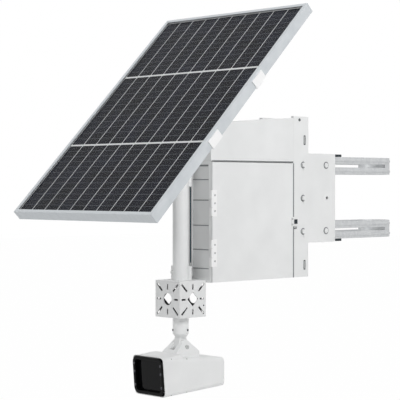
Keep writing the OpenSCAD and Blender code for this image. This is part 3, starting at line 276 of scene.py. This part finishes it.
def solar_glass():
    """Low-iron tempered glass: nearly clear, so that the cells show through it."""
    made, tree, shader, mm = new_material("tempered_solar_glass")
    # the prismatic face has pits about 1 mm across
    pits = add(tree, "ShaderNodeTexVoronoi", {"Vector": mm, "Scale": 1 / 1.6})
    tree.links.new(spread(tree, pits.outputs["Distance"], 0.12, 0.25), shader.inputs["Roughness"])
    shader.inputs["Base Color"].default_value = srgb("20262e")
    shader.inputs["Alpha"].default_value = 0.06
    shader.inputs["Specular IOR Level"].default_value = 0.25
    return made


def silicon_cell():
    """Monocrystalline silicon with its blue-black anti-reflection coat, a little bluer in places."""
    made, tree, shader, mm = new_material("monocrystalline_silicon")
    cloud = add(tree, "ShaderNodeTexNoise", {"Vector": mm, "Scale": 1 / 160, "Detail": 2})
    # crystal slices differ a little from cell to cell, about 60 mm apart
    slices = add(tree, "ShaderNodeTexVoronoi", {"Vector": mm, "Scale": 1 / 60})
    mixed = add(tree, "ShaderNodeMath", {0: cloud.outputs[0], 1: slices.outputs["Distance"]},
                operation="MULTIPLY")
    tree.links.new(two_tone(tree, mixed.outputs[0], "0e0f13", "171a26", 0.05, 0.5),
                   shader.inputs["Base Color"])
    shader.inputs["Roughness"].default_value = 0.4
    shader.inputs["Specular IOR Level"].default_value = 0.08
    return made


def smoked_window():
    """Smoked polycarbonate: glossy black with the lens just seen through it."""
    made, tree, shader, mm = new_material("smoked_polycarbonate")
    haze = add(tree, "ShaderNodeTexNoise", {"Vector": mm, "Scale": 1 / 30, "Detail": 2})
    tree.links.new(spread(tree, haze.outputs[0], 0.04, 0.09), shader.inputs["Roughness"])
    shader.inputs["Base Color"].default_value = srgb("08090b")
    shader.inputs["Alpha"].default_value = 0.94
    shader.inputs["Specular IOR Level"].default_value = 0.12
    return made


def lens_coating():
    """Coated optical glass: near black with a blue-violet sheen."""
    made, tree, shader, _ = new_material("coated_lens_glass")
    edge = add(tree, "ShaderNodeLayerWeight", {"Blend": 0.35})
    tree.links.new(two_tone(tree, edge.outputs["Facing"], "0a0d16", "2a2450", 0.1, 0.9),
                   shader.inputs["Base Color"])
    shader.inputs["Roughness"].default_value = 0.05
    shader.inputs["IOR"].default_value = 1.6
    return made


def circuit_board():
    """Green solder mask over copper tracks about 1.5 mm apart."""
    made, tree, shader, mm = new_material("solder_mask_board")
    tracks = add(tree, "ShaderNodeTexBrick", {"Vector": mm, "Scale": 1 / 6, "Color1": srgb("0d3a26"),
                                              "Color2": srgb("11452d"), "Mortar": srgb("1a5c3c")})
    tree.links.new(tracks.outputs["Color"], shader.inputs["Base Color"])
    shader.inputs["Roughness"].default_value = 0.4
    return made


WHITE_COAT = powder_coat("white_powder_coat", "f1f2f2", "ebecec")
GREY_COAT = powder_coat("grey_powder_coat", "eceded", "e4e5e5")
# A lighter copy of the white coat, for the hinge leaves and cross rails: painted highlight.
LIT_WHITE_COAT = powder_coat("white_powder_coat_painted_highlight", "fdfdfd", "f9f9f9")
# Coats with painted shade, a dark colour: on the inner faces of the block shell and the bracket channel, and
# on the block base above its lowest 3 mm, where they sit in shade inside.
BLOCK_COAT_SHADED_INSIDE = shade_inside("block_coat_painted_shade", "eceded", "e6e7e7", "2c2f31", (0, pole_y, 0), (1, 1, 0))
BASE_COAT_SHADED_ABOVE = shade_above("block_base_coat_painted_shade", "f1f2f2", "ebecec", "2c2f31",
                         corner_low("block_base").z + 3 * MM)
CHANNEL_COAT_SHADED_INSIDE = shade_inside("channel_coat_painted_shade", "f1f2f2", "ebecec", "5a5e61", (0, 0, 0), (1, 0, 0))
GALVANISED = galvanised_steel()
ANODISED = anodised_aluminium()
ZINC = zinc_plate()
BLACK_OXIDE = black_oxide()
EPDM = moulded_plastic("epdm_rubber", "1a242a", "222e36", 0.7, 0.85, 1.2)
POLYAMIDE = moulded_plastic("black_polyamide", "232527", "2c2e31", 0.5, 0.65, 1.5)
PVC_WRAP = moulded_plastic("blue_pvc_wrap", "1d5088", "235a96", 0.25, 0.4, 8)
GREY_ABS = moulded_plastic("grey_abs", "b4b6b6", "bfc0c0", 0.45, 0.6, 1.5)
GLOSS_ABS = moulded_plastic("gloss_black_abs", "08090a", "0c0d0e", 0.1, 0.16, 6, 0.1)
# The slot seal's blue-black tone is painted shade for the shadow in the gap between the pole and the cabinet.
SEAL_AND_GAP_SHADE = moulded_plastic("blue_black_epdm_gap_shade", "28404d", "33505f", 0.7, 0.85, 1.2)
# A mid grey for the rings, strips and lines that stand where shade falls round bolt heads, in the door's gaps
# and in the cover's folds: painted shade.
SHADE_GREY = moulded_plastic("grey_painted_shade", "7d8082", "8c8f91", 0.6, 0.75, 2)
BLACK_ANODISED = moulded_plastic("black_anodised_aluminium", "1d1f21", "26282a", 0.35, 0.5, 1.5)
BACKSHEET = moulded_plastic("white_pvf_film", "e9ebec", "f2f3f3", 0.45, 0.6, 12)
RIBBON = moulded_plastic("tinned_copper_ribbon", "50545e", "5d626c", 0.3, 0.45, 4)
SOLAR_GLASS = solar_glass()
SILICON = silicon_cell()
SMOKED = smoked_window()
LENS_GLASS = lens_coating()
BOARD = circuit_board()

SLOT_MATERIAL = {
    "powder_coat": WHITE_COAT, "powder_coat_grey": GREY_COAT, "galvanised": GALVANISED,
    "anodised": ANODISED, "zinc_fastener": ZINC, "black_steel": BLACK_OXIDE, "rubber": EPDM,
    "polyamide": POLYAMIDE, "pvc_blue": PVC_WRAP, "abs_grey": GREY_ABS, "abs_black": GLOSS_ABS,
    "heatsink": BLACK_ANODISED, "glass_solar": SOLAR_GLASS, "silicon": SILICON, "tedlar": BACKSHEET,
    "smoked_glass": SMOKED, "pcb": BOARD,
}
NODE_SLOT = {s["node"]: s["material_slot"] for s in frame["record"]["subparts"]}


def dress(piece, material):
    piece.data.materials.clear()
    piece.data.materials.append(material)


for node_name, cad_piece in frame["nodes"].items():
    dress(cad_piece, SLOT_MATERIAL[NODE_SLOT[node_name]])
# The slot seal: real rubber, its blue-black tone painted shade for the gap's shadow.
dress(frame["nodes"]["slot_seal"], SEAL_AND_GAP_SHADE)
# The block base is dark above its lowest 3 mm: painted shade.
dress(frame["nodes"]["block_base"], BASE_COAT_SHADED_ABOVE)

# ---------------------------------------------------------------- making pieces


def only(piece):
    """Deselects everything but this piece."""
    bpy.ops.object.select_all(action="DESELECT")
    piece.select_set(True)
    bpy.context.view_layer.objects.active = piece


def settle(piece, name, body, slot, material=None):
    """Names the finished piece, gives it its finish and lets it ride."""
    piece.name = name
    piece.data.name = name
    dress(piece, material or SLOT_MATERIAL[slot])
    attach(piece, body)


def smooth(piece, angle=35):
    only(piece)
    bpy.ops.object.shade_smooth_by_angle(angle=math.radians(angle))


def box_piece(low, high):
    """A box between two corners, its place in its mesh."""
    low, high = Vector(low), Vector(high)
    bpy.ops.object.select_all(action="DESELECT")
    bpy.ops.mesh.primitive_cube_add(size=1, location=(low + high) / 2)
    piece = bpy.context.object
    piece.scale = high - low
    bpy.ops.object.transform_apply(location=True, rotation=True, scale=True)
    return piece


def soften_edges(piece, width, segments=2, angle=35):
    """A small bevel on every edge sharper than the angle."""
    bevel = piece.modifiers.new("edge", "BEVEL")
    bevel.width = width
    bevel.segments = segments
    bevel.limit_method = "ANGLE"
    bevel.angle_limit = math.radians(angle)
    bevel.use_clamp_overlap = True
    only(piece)
    bpy.ops.object.modifier_apply(modifier=bevel.name)
    smooth(piece, angle)
    flat = piece.modifiers.new("flat_faces", "WEIGHTED_NORMAL")
    flat.keep_sharp = True
    bpy.ops.object.modifier_apply(modifier=flat.name)


def rounded_copy(node, width, material=None):
    """A node's shape with its sharp edges broken, as folded sheet and castings have them."""
    source = frame["nodes"][node]
    piece = bpy.data.objects.new(node + "_finished", source.data.copy())
    scene.collection.objects.link(piece)
    only(piece)
    bpy.ops.object.mode_set(mode="EDIT")
    bpy.ops.mesh.select_all(action="SELECT")
    bpy.ops.mesh.remove_doubles(threshold=0.01 * MM)
    bpy.ops.mesh.dissolve_limited(angle_limit=math.radians(0.5))
    bpy.ops.object.mode_set(mode="OBJECT")
    soften_edges(piece, width)
    settle(piece, node + "_finished", source["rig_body"], NODE_SLOT[node], material)
    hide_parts(node)


def cut_out(piece, cutter):
    """Takes the cutter's shape out of the piece, and the cutter away."""
    cut = piece.modifiers.new("hole", "BOOLEAN")
    cut.object = cutter
    cut.solver = "EXACT"
    only(piece)
    bpy.ops.object.modifier_apply(modifier=cut.name)
    bpy.data.objects.remove(cutter, do_unlink=True)


def bevel_some(piece, chosen, width, segments):
    """Bevels the edges whose two ends pass the test."""
    only(piece)
    bpy.ops.object.mode_set(mode="EDIT")
    bpy.ops.mesh.select_mode(type="EDGE")
    bpy.ops.mesh.select_all(action="DESELECT")
    bpy.ops.object.mode_set(mode="OBJECT")
    points = piece.data.vertices
    for e in piece.data.edges:
        e.select = chosen(*(points[i].co for i in e.vertices))
    bpy.ops.object.mode_set(mode="EDIT")
    bpy.ops.mesh.bevel(offset=width, segments=segments, affect="EDGES")
    bpy.ops.object.mode_set(mode="OBJECT")


def join(parts):
    """Several parts made one mesh."""
    bpy.ops.object.select_all(action="DESELECT")
    for part in parts:
        part.select_set(True)
    bpy.context.view_layer.objects.active = parts[0]
    bpy.ops.object.join()
    return bpy.context.object


def place_on_panel(piece):
    """Moves a piece made level, in the panel's own axes, to its place."""
    piece.data.transform(panel_place)


# ---------------------------------------------------------------- sheet metal and castings

# Coats with painted light: shade on the inner faces of the block shell and the bracket channel, and a painted
# highlight on the hinge leaves and cross rails.
PAINTED_LIGHT_COATS = {
    "block_shell": BLOCK_COAT_SHADED_INSIDE, "bracket_channel": CHANNEL_COAT_SHADED_INSIDE, "hinge_leaves_fixed": LIT_WHITE_COAT,
    "hinge_leaves_door": LIT_WHITE_COAT, "cross_rails": LIT_WHITE_COAT,
}
# how wide each node's edges are rounded, in millimetres
EDGE_MM = {
    "cabinet_shell": 0.6, "roof_hood": 0.7, "door": 0.6, "front_cover": 0.35, "rear_strips": 0.5,
    "bracket_channel": 0.8, "pole_jaws": 0.8, "upper_hoop": 0.9, "lower_hoop": 0.9,
    "block_shell": 0.6, "camera_boss": 2.0, "swivel_arm": 1.0, "pole_saddles": 1.2,
    "yoke_sleeve": 0.8, "tilt_bracket": 0.8, "cross_rails": 0.5, "frame_sides": 0.5,
    "frame_ends": 0.5, "lock_body": 0.5, "lock_core": 0.5, "battery_pack": 3.0,
    "junction_box": 1.0, "junction_box_lid": 0.8, "hinge_leaves_fixed": 0.3,
    "hinge_leaves_door": 0.3, "breaker_body": 0.5, "charge_controller": 0.5,
}
for node_name, edge_mm in EDGE_MM.items():
    rounded_copy(node_name, edge_mm * MM, PAINTED_LIGHT_COATS.get(node_name))

# ---------------------------------------------------------------- painted shade: grey rings, strips and lines, dark slot frames

LAID_ON = 0.02 * MM        # between a laid-on piece and the coat under it
RING_THICK = 0.8 * MM
SHADE_STRIP_PROUD = 0.7 * MM
DOOR_PLAY = 0.5 * MM       # between the door's rear edge and the shade strip
DOOR_GAP = 1.95 * MM       # between the door's rear edge and the strip, less a hair
SHADE_LINE_WIDE = 2.6 * MM       # height of the shade strip under the hood, and of a line of painted shade
SHADE_FRAME_HALF = (4 * MM, 15 * MM)     # half width and half height of a slot's dark frame of painted shade
SLOT_HALF = (1.4 * MM, 12 * MM)    # the same of the slot left open in it
SLOT_REAR = 7 * MM         # slots behind the strips' bolts, small hole before them
HOLE_FRONT = 17 * MM


def islands(node):
    """Lowest and highest corner of each separate solid of a node."""
    mesh = frame["nodes"][node].data
    group = list(range(len(mesh.vertices)))

    def root(i):
        while group[i] != i:
            group[i] = group[group[i]]
            i = group[i]
        return i

    places = {}
    for i, v in enumerate(mesh.vertices):
        same = places.setdefault(tuple(round(c, 6) for c in v.co), i)
        group[root(i)] = root(same)
    for e in mesh.edges:
        group[root(e.vertices[0])] = root(e.vertices[1])
    found = {}
    for i, v in enumerate(mesh.vertices):
        found.setdefault(root(i), []).append(v.co)
    return [(Vector([min(c[k] for c in solid) for k in range(3)]),
             Vector([max(c[k] for c in solid) for k in range(3)])) for solid in found.values()]


def disc(x, y, z, radius, thick):
    """A round disc on the X axis, its middle at x."""
    bpy.ops.object.select_all(action="DESELECT")
    bpy.ops.mesh.primitive_cylinder_add(vertices=48, radius=radius, depth=thick,
                                        rotation=(0, math.pi / 2, 0), location=(x, y, z))
    bpy.ops.object.transform_apply(location=True, rotation=True, scale=True)
    return bpy.context.object


def flat_ring(x, y, z, hole, radius):
    """A flat ring on the X axis, from x outwards."""
    piece = disc(x + RING_THICK / 2, y, z, radius, RING_THICK)
    cut_out(piece, disc(x, y, z, hole, 4 * RING_THICK))
    return piece


def bolt_shade_rings():
    """Grey rings round the bolt heads on the strips and on the bracket's side plates: painted shade for the
    outline round each head.
    """
    rings = []
    for node, face, radius in (("bracket_bolts", corner_high("rear_strips").x, 10.5 * MM),
                               ("hoop_lock_bolts", corner_high("bracket_channel").x, 11.5 * MM)):
        for low, high in islands(node):
            if high.x > face:
                middle = (low + high) / 2
                hole = (high.z - low.z) / 2 + 0.1 * MM
                for x in (face, -face - RING_THICK):
                    rings.append(flat_ring(x, middle.y, middle.z, hole, radius))
    settle(join(rings), "bolt_shade_rings", "frame", "rubber", SHADE_GREY)


def door_gap_shade():
    """Grey strips of painted shade in the gap behind the door's rear edge, on the front of the rear strip,
    and under the hood.
    """
    door_low, door_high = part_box("door")
    hood_low = corner_low("roof_hood").z
    face = door_high.x + LAID_ON
    proud = face + SHADE_STRIP_PROUD
    rear = door_high.y + DOOR_PLAY
    strip = door_high.y + DOOR_GAP
    gap_shades = [
        box_piece((face - 4 * MM, rear, door_low.z), (proud, strip, door_high.z)),
        box_piece((face, strip + 0.1 * MM, door_low.z), (proud, strip + 2 * MM, door_high.z)),
        box_piece((face, door_low.y, hood_low + 0.2 * MM), (proud, rear, hood_low + SHADE_LINE_WIDE)),
    ]
    settle(join(gap_shades), "door_gap_shade", "frame", "rubber", SHADE_GREY)


def slot_shade_frame(x, y, z):
    """A rounded dark frame round a hanging slot's edge: painted shade for the slot's dark inside."""
    (wide, tall), (slot_wide, slot_tall) = SHADE_FRAME_HALF, SLOT_HALF
    piece = box_piece((x, y - wide, z - tall), (x + RING_THICK, y + wide, z + tall))
    cutter = box_piece((x - MM, y - slot_wide, z - slot_tall), (x + 2 * MM, y + slot_wide, z + slot_tall))
    cut_out(piece, cutter)
    soften_edges(piece, 0.3 * MM)
    return piece


def strip_slot_shade():
    """Dark frames round the strips' hanging slots, and a dark ring round the small hole near their tops:
    painted shade for the dark inside seen through them.
    """
    low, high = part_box("rear_strips")
    bolt_y = (corner_low("bracket_bolts").y + corner_high("bracket_bolts").y) / 2
    slot_shades = []
    for x in (high.x + LAID_ON, -high.x - LAID_ON - RING_THICK):
        for z in (low.z + 38 * MM, high.z - 75 * MM):
            slot_shades.append(slot_shade_frame(x, bolt_y + SLOT_REAR, z))
        slot_shades.append(flat_ring(x, bolt_y - HOLE_FRONT, high.z - 11 * MM, 1.2 * MM, 4.6 * MM))
    settle(join(slot_shades), "strip_slot_shade", "frame", "rubber")


def cover_fold_shade():
    """Grey lines of painted shade in the folds that cross the front cover's pocket, and along the cover's
    top.
    """
    low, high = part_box("front_cover")
    left, right = low.x + 12.5 * MM, high.x - 4.5 * MM
    lines = [box_piece((left, high.y - 1.6 * MM, low.z + rise * MM),
                       (right, high.y - 0.3 * MM, low.z + rise * MM + SHADE_LINE_WIDE))
             for rise in (32, 89, 162, 238, 300)]
    lines.append(box_piece((left, low.y - 0.6 * MM, high.z - 5 * MM), (right, low.y - LAID_ON, high.z)))
    settle(join(lines), "cover_fold_shade", "frame", "rubber", SHADE_GREY)


bolt_shade_rings()
door_gap_shade()
strip_slot_shade()
cover_fold_shade()

# ---------------------------------------------------------------- solar cells

CELL_COLUMNS = 10
ROW_SHARES = (0.98, 1.09, 0.93)  # heights of the rows from the low edge up, as shares of a third
COLUMN_GAP = 2.2 * MM
ROW_GAP = 7 * MM
RIBBONS = 11
RIBBON_WIDTH = 0.9 * MM
CELL_CHAMFER = 3 * MM
# how far below the node's face each layer's rear and face lie
FILM_DEPTHS = (0.3 * MM, 0.01 * MM)
RIBBON_DEPTHS = (0.15 * MM, 0.02 * MM)
CELL_DEPTH = 0.1 * MM


def cell_matrix():
    """The cells, the thin ribbons that cross each row, and the white film that shows in the gaps."""
    low, high = panel_box("solar_cells")
    cell_w = (high.x - low.x - (CELL_COLUMNS - 1) * COLUMN_GAP) / CELL_COLUMNS
    third = (high.y - low.y - 2 * ROW_GAP) / 3
    cells, ribbons, film = [], [], []
    film_low, film_high = (high.z - depth for depth in FILM_DEPTHS)
    ribbon_low, ribbon_high = (high.z - depth for depth in RIBBON_DEPTHS)
    y = low.y
    for share in ROW_SHARES:
        top = y + share * third
        if top < high.y - ROW_GAP:
            film.append(box_piece((low.x, top, film_low), (high.x, top + ROW_GAP, film_high)))
        for column in range(CELL_COLUMNS):
            x = low.x + column * (cell_w + COLUMN_GAP)
            cells.append(box_piece((x, y, low.z), (x + cell_w, top, high.z - CELL_DEPTH)))
            if column:
                film.append(box_piece((x - COLUMN_GAP, y, film_low), (x, top, film_high)))
        for i in range(1, RIBBONS + 1):
            line = y + (top - y) * i / (RIBBONS + 1)
            ribbons.append(box_piece((low.x, line - RIBBON_WIDTH / 2, ribbon_low),
                                     (high.x, line + RIBBON_WIDTH / 2, ribbon_high)))
        y = top + ROW_GAP
    return join(cells), join(ribbons), join(film)


cells, ribbons, gap_film = cell_matrix()
bevel_some(cells, lambda a, b: abs(a.z - b.z) > 0.2 * MM, CELL_CHAMFER, 1)
for piece in (cells, ribbons, gap_film):
    place_on_panel(piece)
settle(cells, "cell_matrix", "panel", "silicon")
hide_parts("solar_cells")
settle(ribbons, "cell_ribbons", "panel", "zinc_fastener", RIBBON)
settle(gap_film, "cell_gap_film", "panel", "tedlar")

# ---------------------------------------------------------------- camera

HOUSING_CORNER = 13 * MM
BEZEL_CORNER = 20 * MM
WINDOW_CORNER = 11 * MM
RIM = 2.6 * MM
HOLLOW = 80 * MM           # depth of the housing's open front
CAP_SEAT = 1 * MM          # how deep the rear cap sits
BEZEL_LIP = 10 * MM
BEZEL_PROUD = 4 * MM       # how far the bezel stands before its node
BEZEL_BACK = 5.5 * MM      # how far its rear is moved forward, clear of the window's rear
LENS_WALL = 8.5 * MM       # from the barrel's outside in to the glass
LENS_BACK = 8 * MM
LAMP_RADIUS = 4.2 * MM
LAMP_INSET = 6.5 * MM      # from the bezel's side in to a lamp's middle


def outer_box(node):
    """A box whose eight corners are the node's outermost ones, so that it tapers and leans as it does."""
    low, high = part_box(node)
    points = [v.co for v in frame["nodes"][node].data.vertices]
    piece = box_piece(low, high)
    middle = (low + high) / 2
    for v in piece.data.vertices:
        y_way, z_way = (1 if v.co[i] > middle[i] else -1 for i in (1, 2))
        side = [p for p in points if abs(p.x - v.co.x) < 0.1 * MM]
        v.co = max(side, key=lambda p: y_way * p.y + z_way * p.z)
    return piece


def round_long_edges(piece, radius):
    """Rounds the four edges that run from the front to the rear."""
    bevel_some(piece, lambda a, b: abs(a.x - b.x) < 0.1 * MM and abs(a.z - b.z) < 30 * MM, radius, 8)


def select_none(mesh):
    """Deselects every point, edge and face."""
    for part in (mesh.vertices, mesh.edges, mesh.polygons):
        for p in part:
            p.select = False


def end_face(piece, way):
    """Selects the big face whose normal points the given way along Y, and gives that normal."""
    mesh = piece.data
    select_none(mesh)
    face = max((p for p in mesh.polygons if p.normal.y * way > 0.9), key=lambda p: p.area)
    face.select = True
    normal = face.normal.copy()
    bpy.ops.object.mode_set(mode="EDIT")
    bpy.ops.mesh.select_mode(type="FACE")
    return normal


def sink(piece, way, rim, depth):
    """Insets an end face by a rim and pushes its middle in by a depth."""
    only(piece)
    normal = end_face(piece, way)
    bpy.ops.mesh.inset(thickness=rim)
    bpy.ops.mesh.extrude_region_move(TRANSFORM_OT_translate={"value": tuple(-normal * depth)})
    bpy.ops.object.mode_set(mode="OBJECT")


def housing():
    """White housing: a tapered box with round long edges, hollow at the front, with a seated rear cap."""
    piece = outer_box("camera_body")
    round_long_edges(piece, HOUSING_CORNER)
    sink(piece, -1, RIM, HOLLOW)
    sink(piece, 1, RIM, CAP_SEAT)
    soften_edges(piece, 0.6 * MM)
    settle(piece, "camera_housing", "camera", "powder_coat")
    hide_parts("camera_body", "camera_rear_cap")


def open_ring(piece):
    """Insets both end faces by the lip, then joins the two inner faces by a hole."""
    only(piece)
    for way in (-1, 1):
        end_face(piece, way)
        bpy.ops.mesh.inset(thickness=BEZEL_LIP)
        bpy.ops.object.mode_set(mode="OBJECT")
    mesh = piece.data
    inner = [max((p for p in mesh.polygons if p.normal.y * way > 0.9 and len(p.vertices) > 8),
                 key=lambda p: p.area) for way in (-1, 1)]
    select_none(mesh)
    for face in inner:
        face.select = True
    bpy.ops.object.mode_set(mode="EDIT")
    bpy.ops.mesh.select_mode(type="FACE")
    bpy.ops.mesh.bridge_edge_loops()
    bpy.ops.object.mode_set(mode="OBJECT")


def bezel():
    """Glossy black front: a rounded ring that stands a little proud of the housing."""
    piece = outer_box("camera_bezel")
    window_low, window_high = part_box("camera_window")
    split = (window_low.y + window_high.y) / 2 - 4 * MM
    for v in piece.data.vertices:
        v.co.y -= BEZEL_PROUD if v.co.y < split else BEZEL_BACK
    round_long_edges(piece, BEZEL_CORNER)
    open_ring(piece)
    soften_edges(piece, 2.2 * MM, 4)
    settle(piece, "camera_front_bezel", "camera", "abs_black")
    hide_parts("camera_bezel")


def window():
    """Smoked window behind the bezel's lip."""
    piece = outer_box("camera_window")
    round_long_edges(piece, WINDOW_CORNER)
    soften_edges(piece, 0.4 * MM, 1)
    settle(piece, "camera_front_window", "camera", "smoked_glass")
    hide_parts("camera_window")


def dome(middle, radius, flat, segments):
    """A smooth ball, flattened along Y by a share."""
    bpy.ops.object.select_all(action="DESELECT")
    bpy.ops.mesh.primitive_uv_sphere_add(segments=segments, ring_count=segments // 2, radius=radius,
                                         location=middle)
    piece = bpy.context.object
    piece.scale = (1, flat, 1)
    bpy.ops.object.transform_apply(location=True, rotation=True, scale=True)
    smooth(piece, 60)
    return piece


def lens():
    """Domed front glass in the lens barrel's mouth."""
    low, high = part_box("lens_barrel")
    radius = (high.x - low.x) / 2 - LENS_WALL
    middle = ((low.x + high.x) / 2, low.y + LENS_BACK, (low.z + high.z) / 2)
    piece = dome(middle, radius, 0.35, 48)
    settle(piece, "lens_front_glass", "camera", "smoked_glass", LENS_GLASS)


def lamp_lenses():
    """Small domes of the lamps on the bezel's two upright lips, three on each."""
    low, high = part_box("camera_bezel")
    middle_z = (low.z + high.z) / 2
    lip_x = (high.x - low.x) / 2 - LAMP_INSET
    # each lamp's rise, and its step back on the leaning front, in millimetres
    places = ((34, -1.4), (10, 0.6), (-30, 4.0))
    lamps = [dome((side * lip_x, low.y + back * MM, middle_z + rise * MM), LAMP_RADIUS, 0.5, 24)
             for side in (-1, 1) for rise, back in places]
    settle(join(lamps), "lamp_domes", "camera", "abs_black", LENS_GLASS)


housing()
bezel()
window()
lens()
lamp_lenses()

# ---------------------------------------------------------------- floor, background and light

BELOW_OBJECT = 0.9  # metres from the object down to the floor

low, high = cad_box
floor_z = low.z - BELOW_OBJECT
bpy.ops.object.select_all(action="DESELECT")
bpy.ops.mesh.primitive_plane_add(size=60, location=(0, 0, floor_z))
floor = bpy.context.object
floor.name = "floor"
floor_paint = bpy.data.materials.new("pale_floor")
floor_paint.use_nodes = True
floor_tree = floor_paint.node_tree
floor_shader = floor_tree.nodes["Principled BSDF"]
floor_shader.inputs["Base Color"].default_value = srgb("f4f4f4")
floor_shader.inputs["Roughness"].default_value = 0.9
floor_rays = add(floor_tree, "ShaderNodeLightPath")
floor_seen = add(floor_tree, "ShaderNodeMath", {0: floor_rays.outputs["Is Camera Ray"],
                                                1: floor_rays.outputs["Is Glossy Ray"]}, operation="MAXIMUM")
floor_glow = add(floor_tree, "ShaderNodeEmission", {"Color": (1, 1, 1, 1), "Strength": 1.0})
floor_share = add(floor_tree, "ShaderNodeMath", {0: floor_seen.outputs[0], 1: 0.99}, operation="MULTIPLY")
floor_mix = add(floor_tree, "ShaderNodeMixShader", {0: floor_share.outputs[0], 1: floor_shader.outputs[0],
                                                    2: floor_glow.outputs[0]})
floor_tree.links.new(floor_mix.outputs[0], floor_tree.nodes["Material Output"].inputs["Surface"])
dress(floor, floor_paint)

world = bpy.data.worlds.new("studio")
scene.world = world
world.use_nodes = True
sky = world.node_tree
rays = add(sky, "ShaderNodeLightPath")
seen = add(sky, "ShaderNodeMath", {0: rays.outputs["Is Camera Ray"], 1: rays.outputs["Is Glossy Ray"]},
           operation="MAXIMUM")
seen = add(sky, "ShaderNodeMath", {0: seen.outputs[0], 1: rays.outputs["Is Transmission Ray"]},
           operation="MAXIMUM")
soft = sky.nodes["Background"]
soft.inputs["Color"].default_value = (1, 1, 1, 1)
soft.inputs["Strength"].default_value = 0.30
plain = add(sky, "ShaderNodeBackground", {"Color": (1, 1, 1, 1), "Strength": 1.0})
sky_mix = add(sky, "ShaderNodeMixShader", {0: seen.outputs[0], 1: soft.outputs[0], 2: plain.outputs[0]})
sky.links.new(sky_mix.outputs[0], sky.nodes["World Output"].inputs["Surface"])


def lamp(name, place, aim, size, power):
    data = bpy.data.lights.new(name, "AREA")
    data.size = size
    data.energy = power
    made = bpy.data.objects.new(name, data)
    made.location = place
    made.rotation_euler = (Vector(aim) - Vector(place)).to_track_quat("-Z", "Y").to_euler()
    scene.collection.objects.link(made)


centre = (low + high) / 2
lamp("key_lamp", (4.2, -0.9, 2.2), centre, 1.6, 100)
lamp("fill_lamp", (-0.6, -4.6, 1.6), centre, 2.2, 42)
lamp("top_lamp", (0.6, -0.4, 4.2), centre, 2.0, 45)
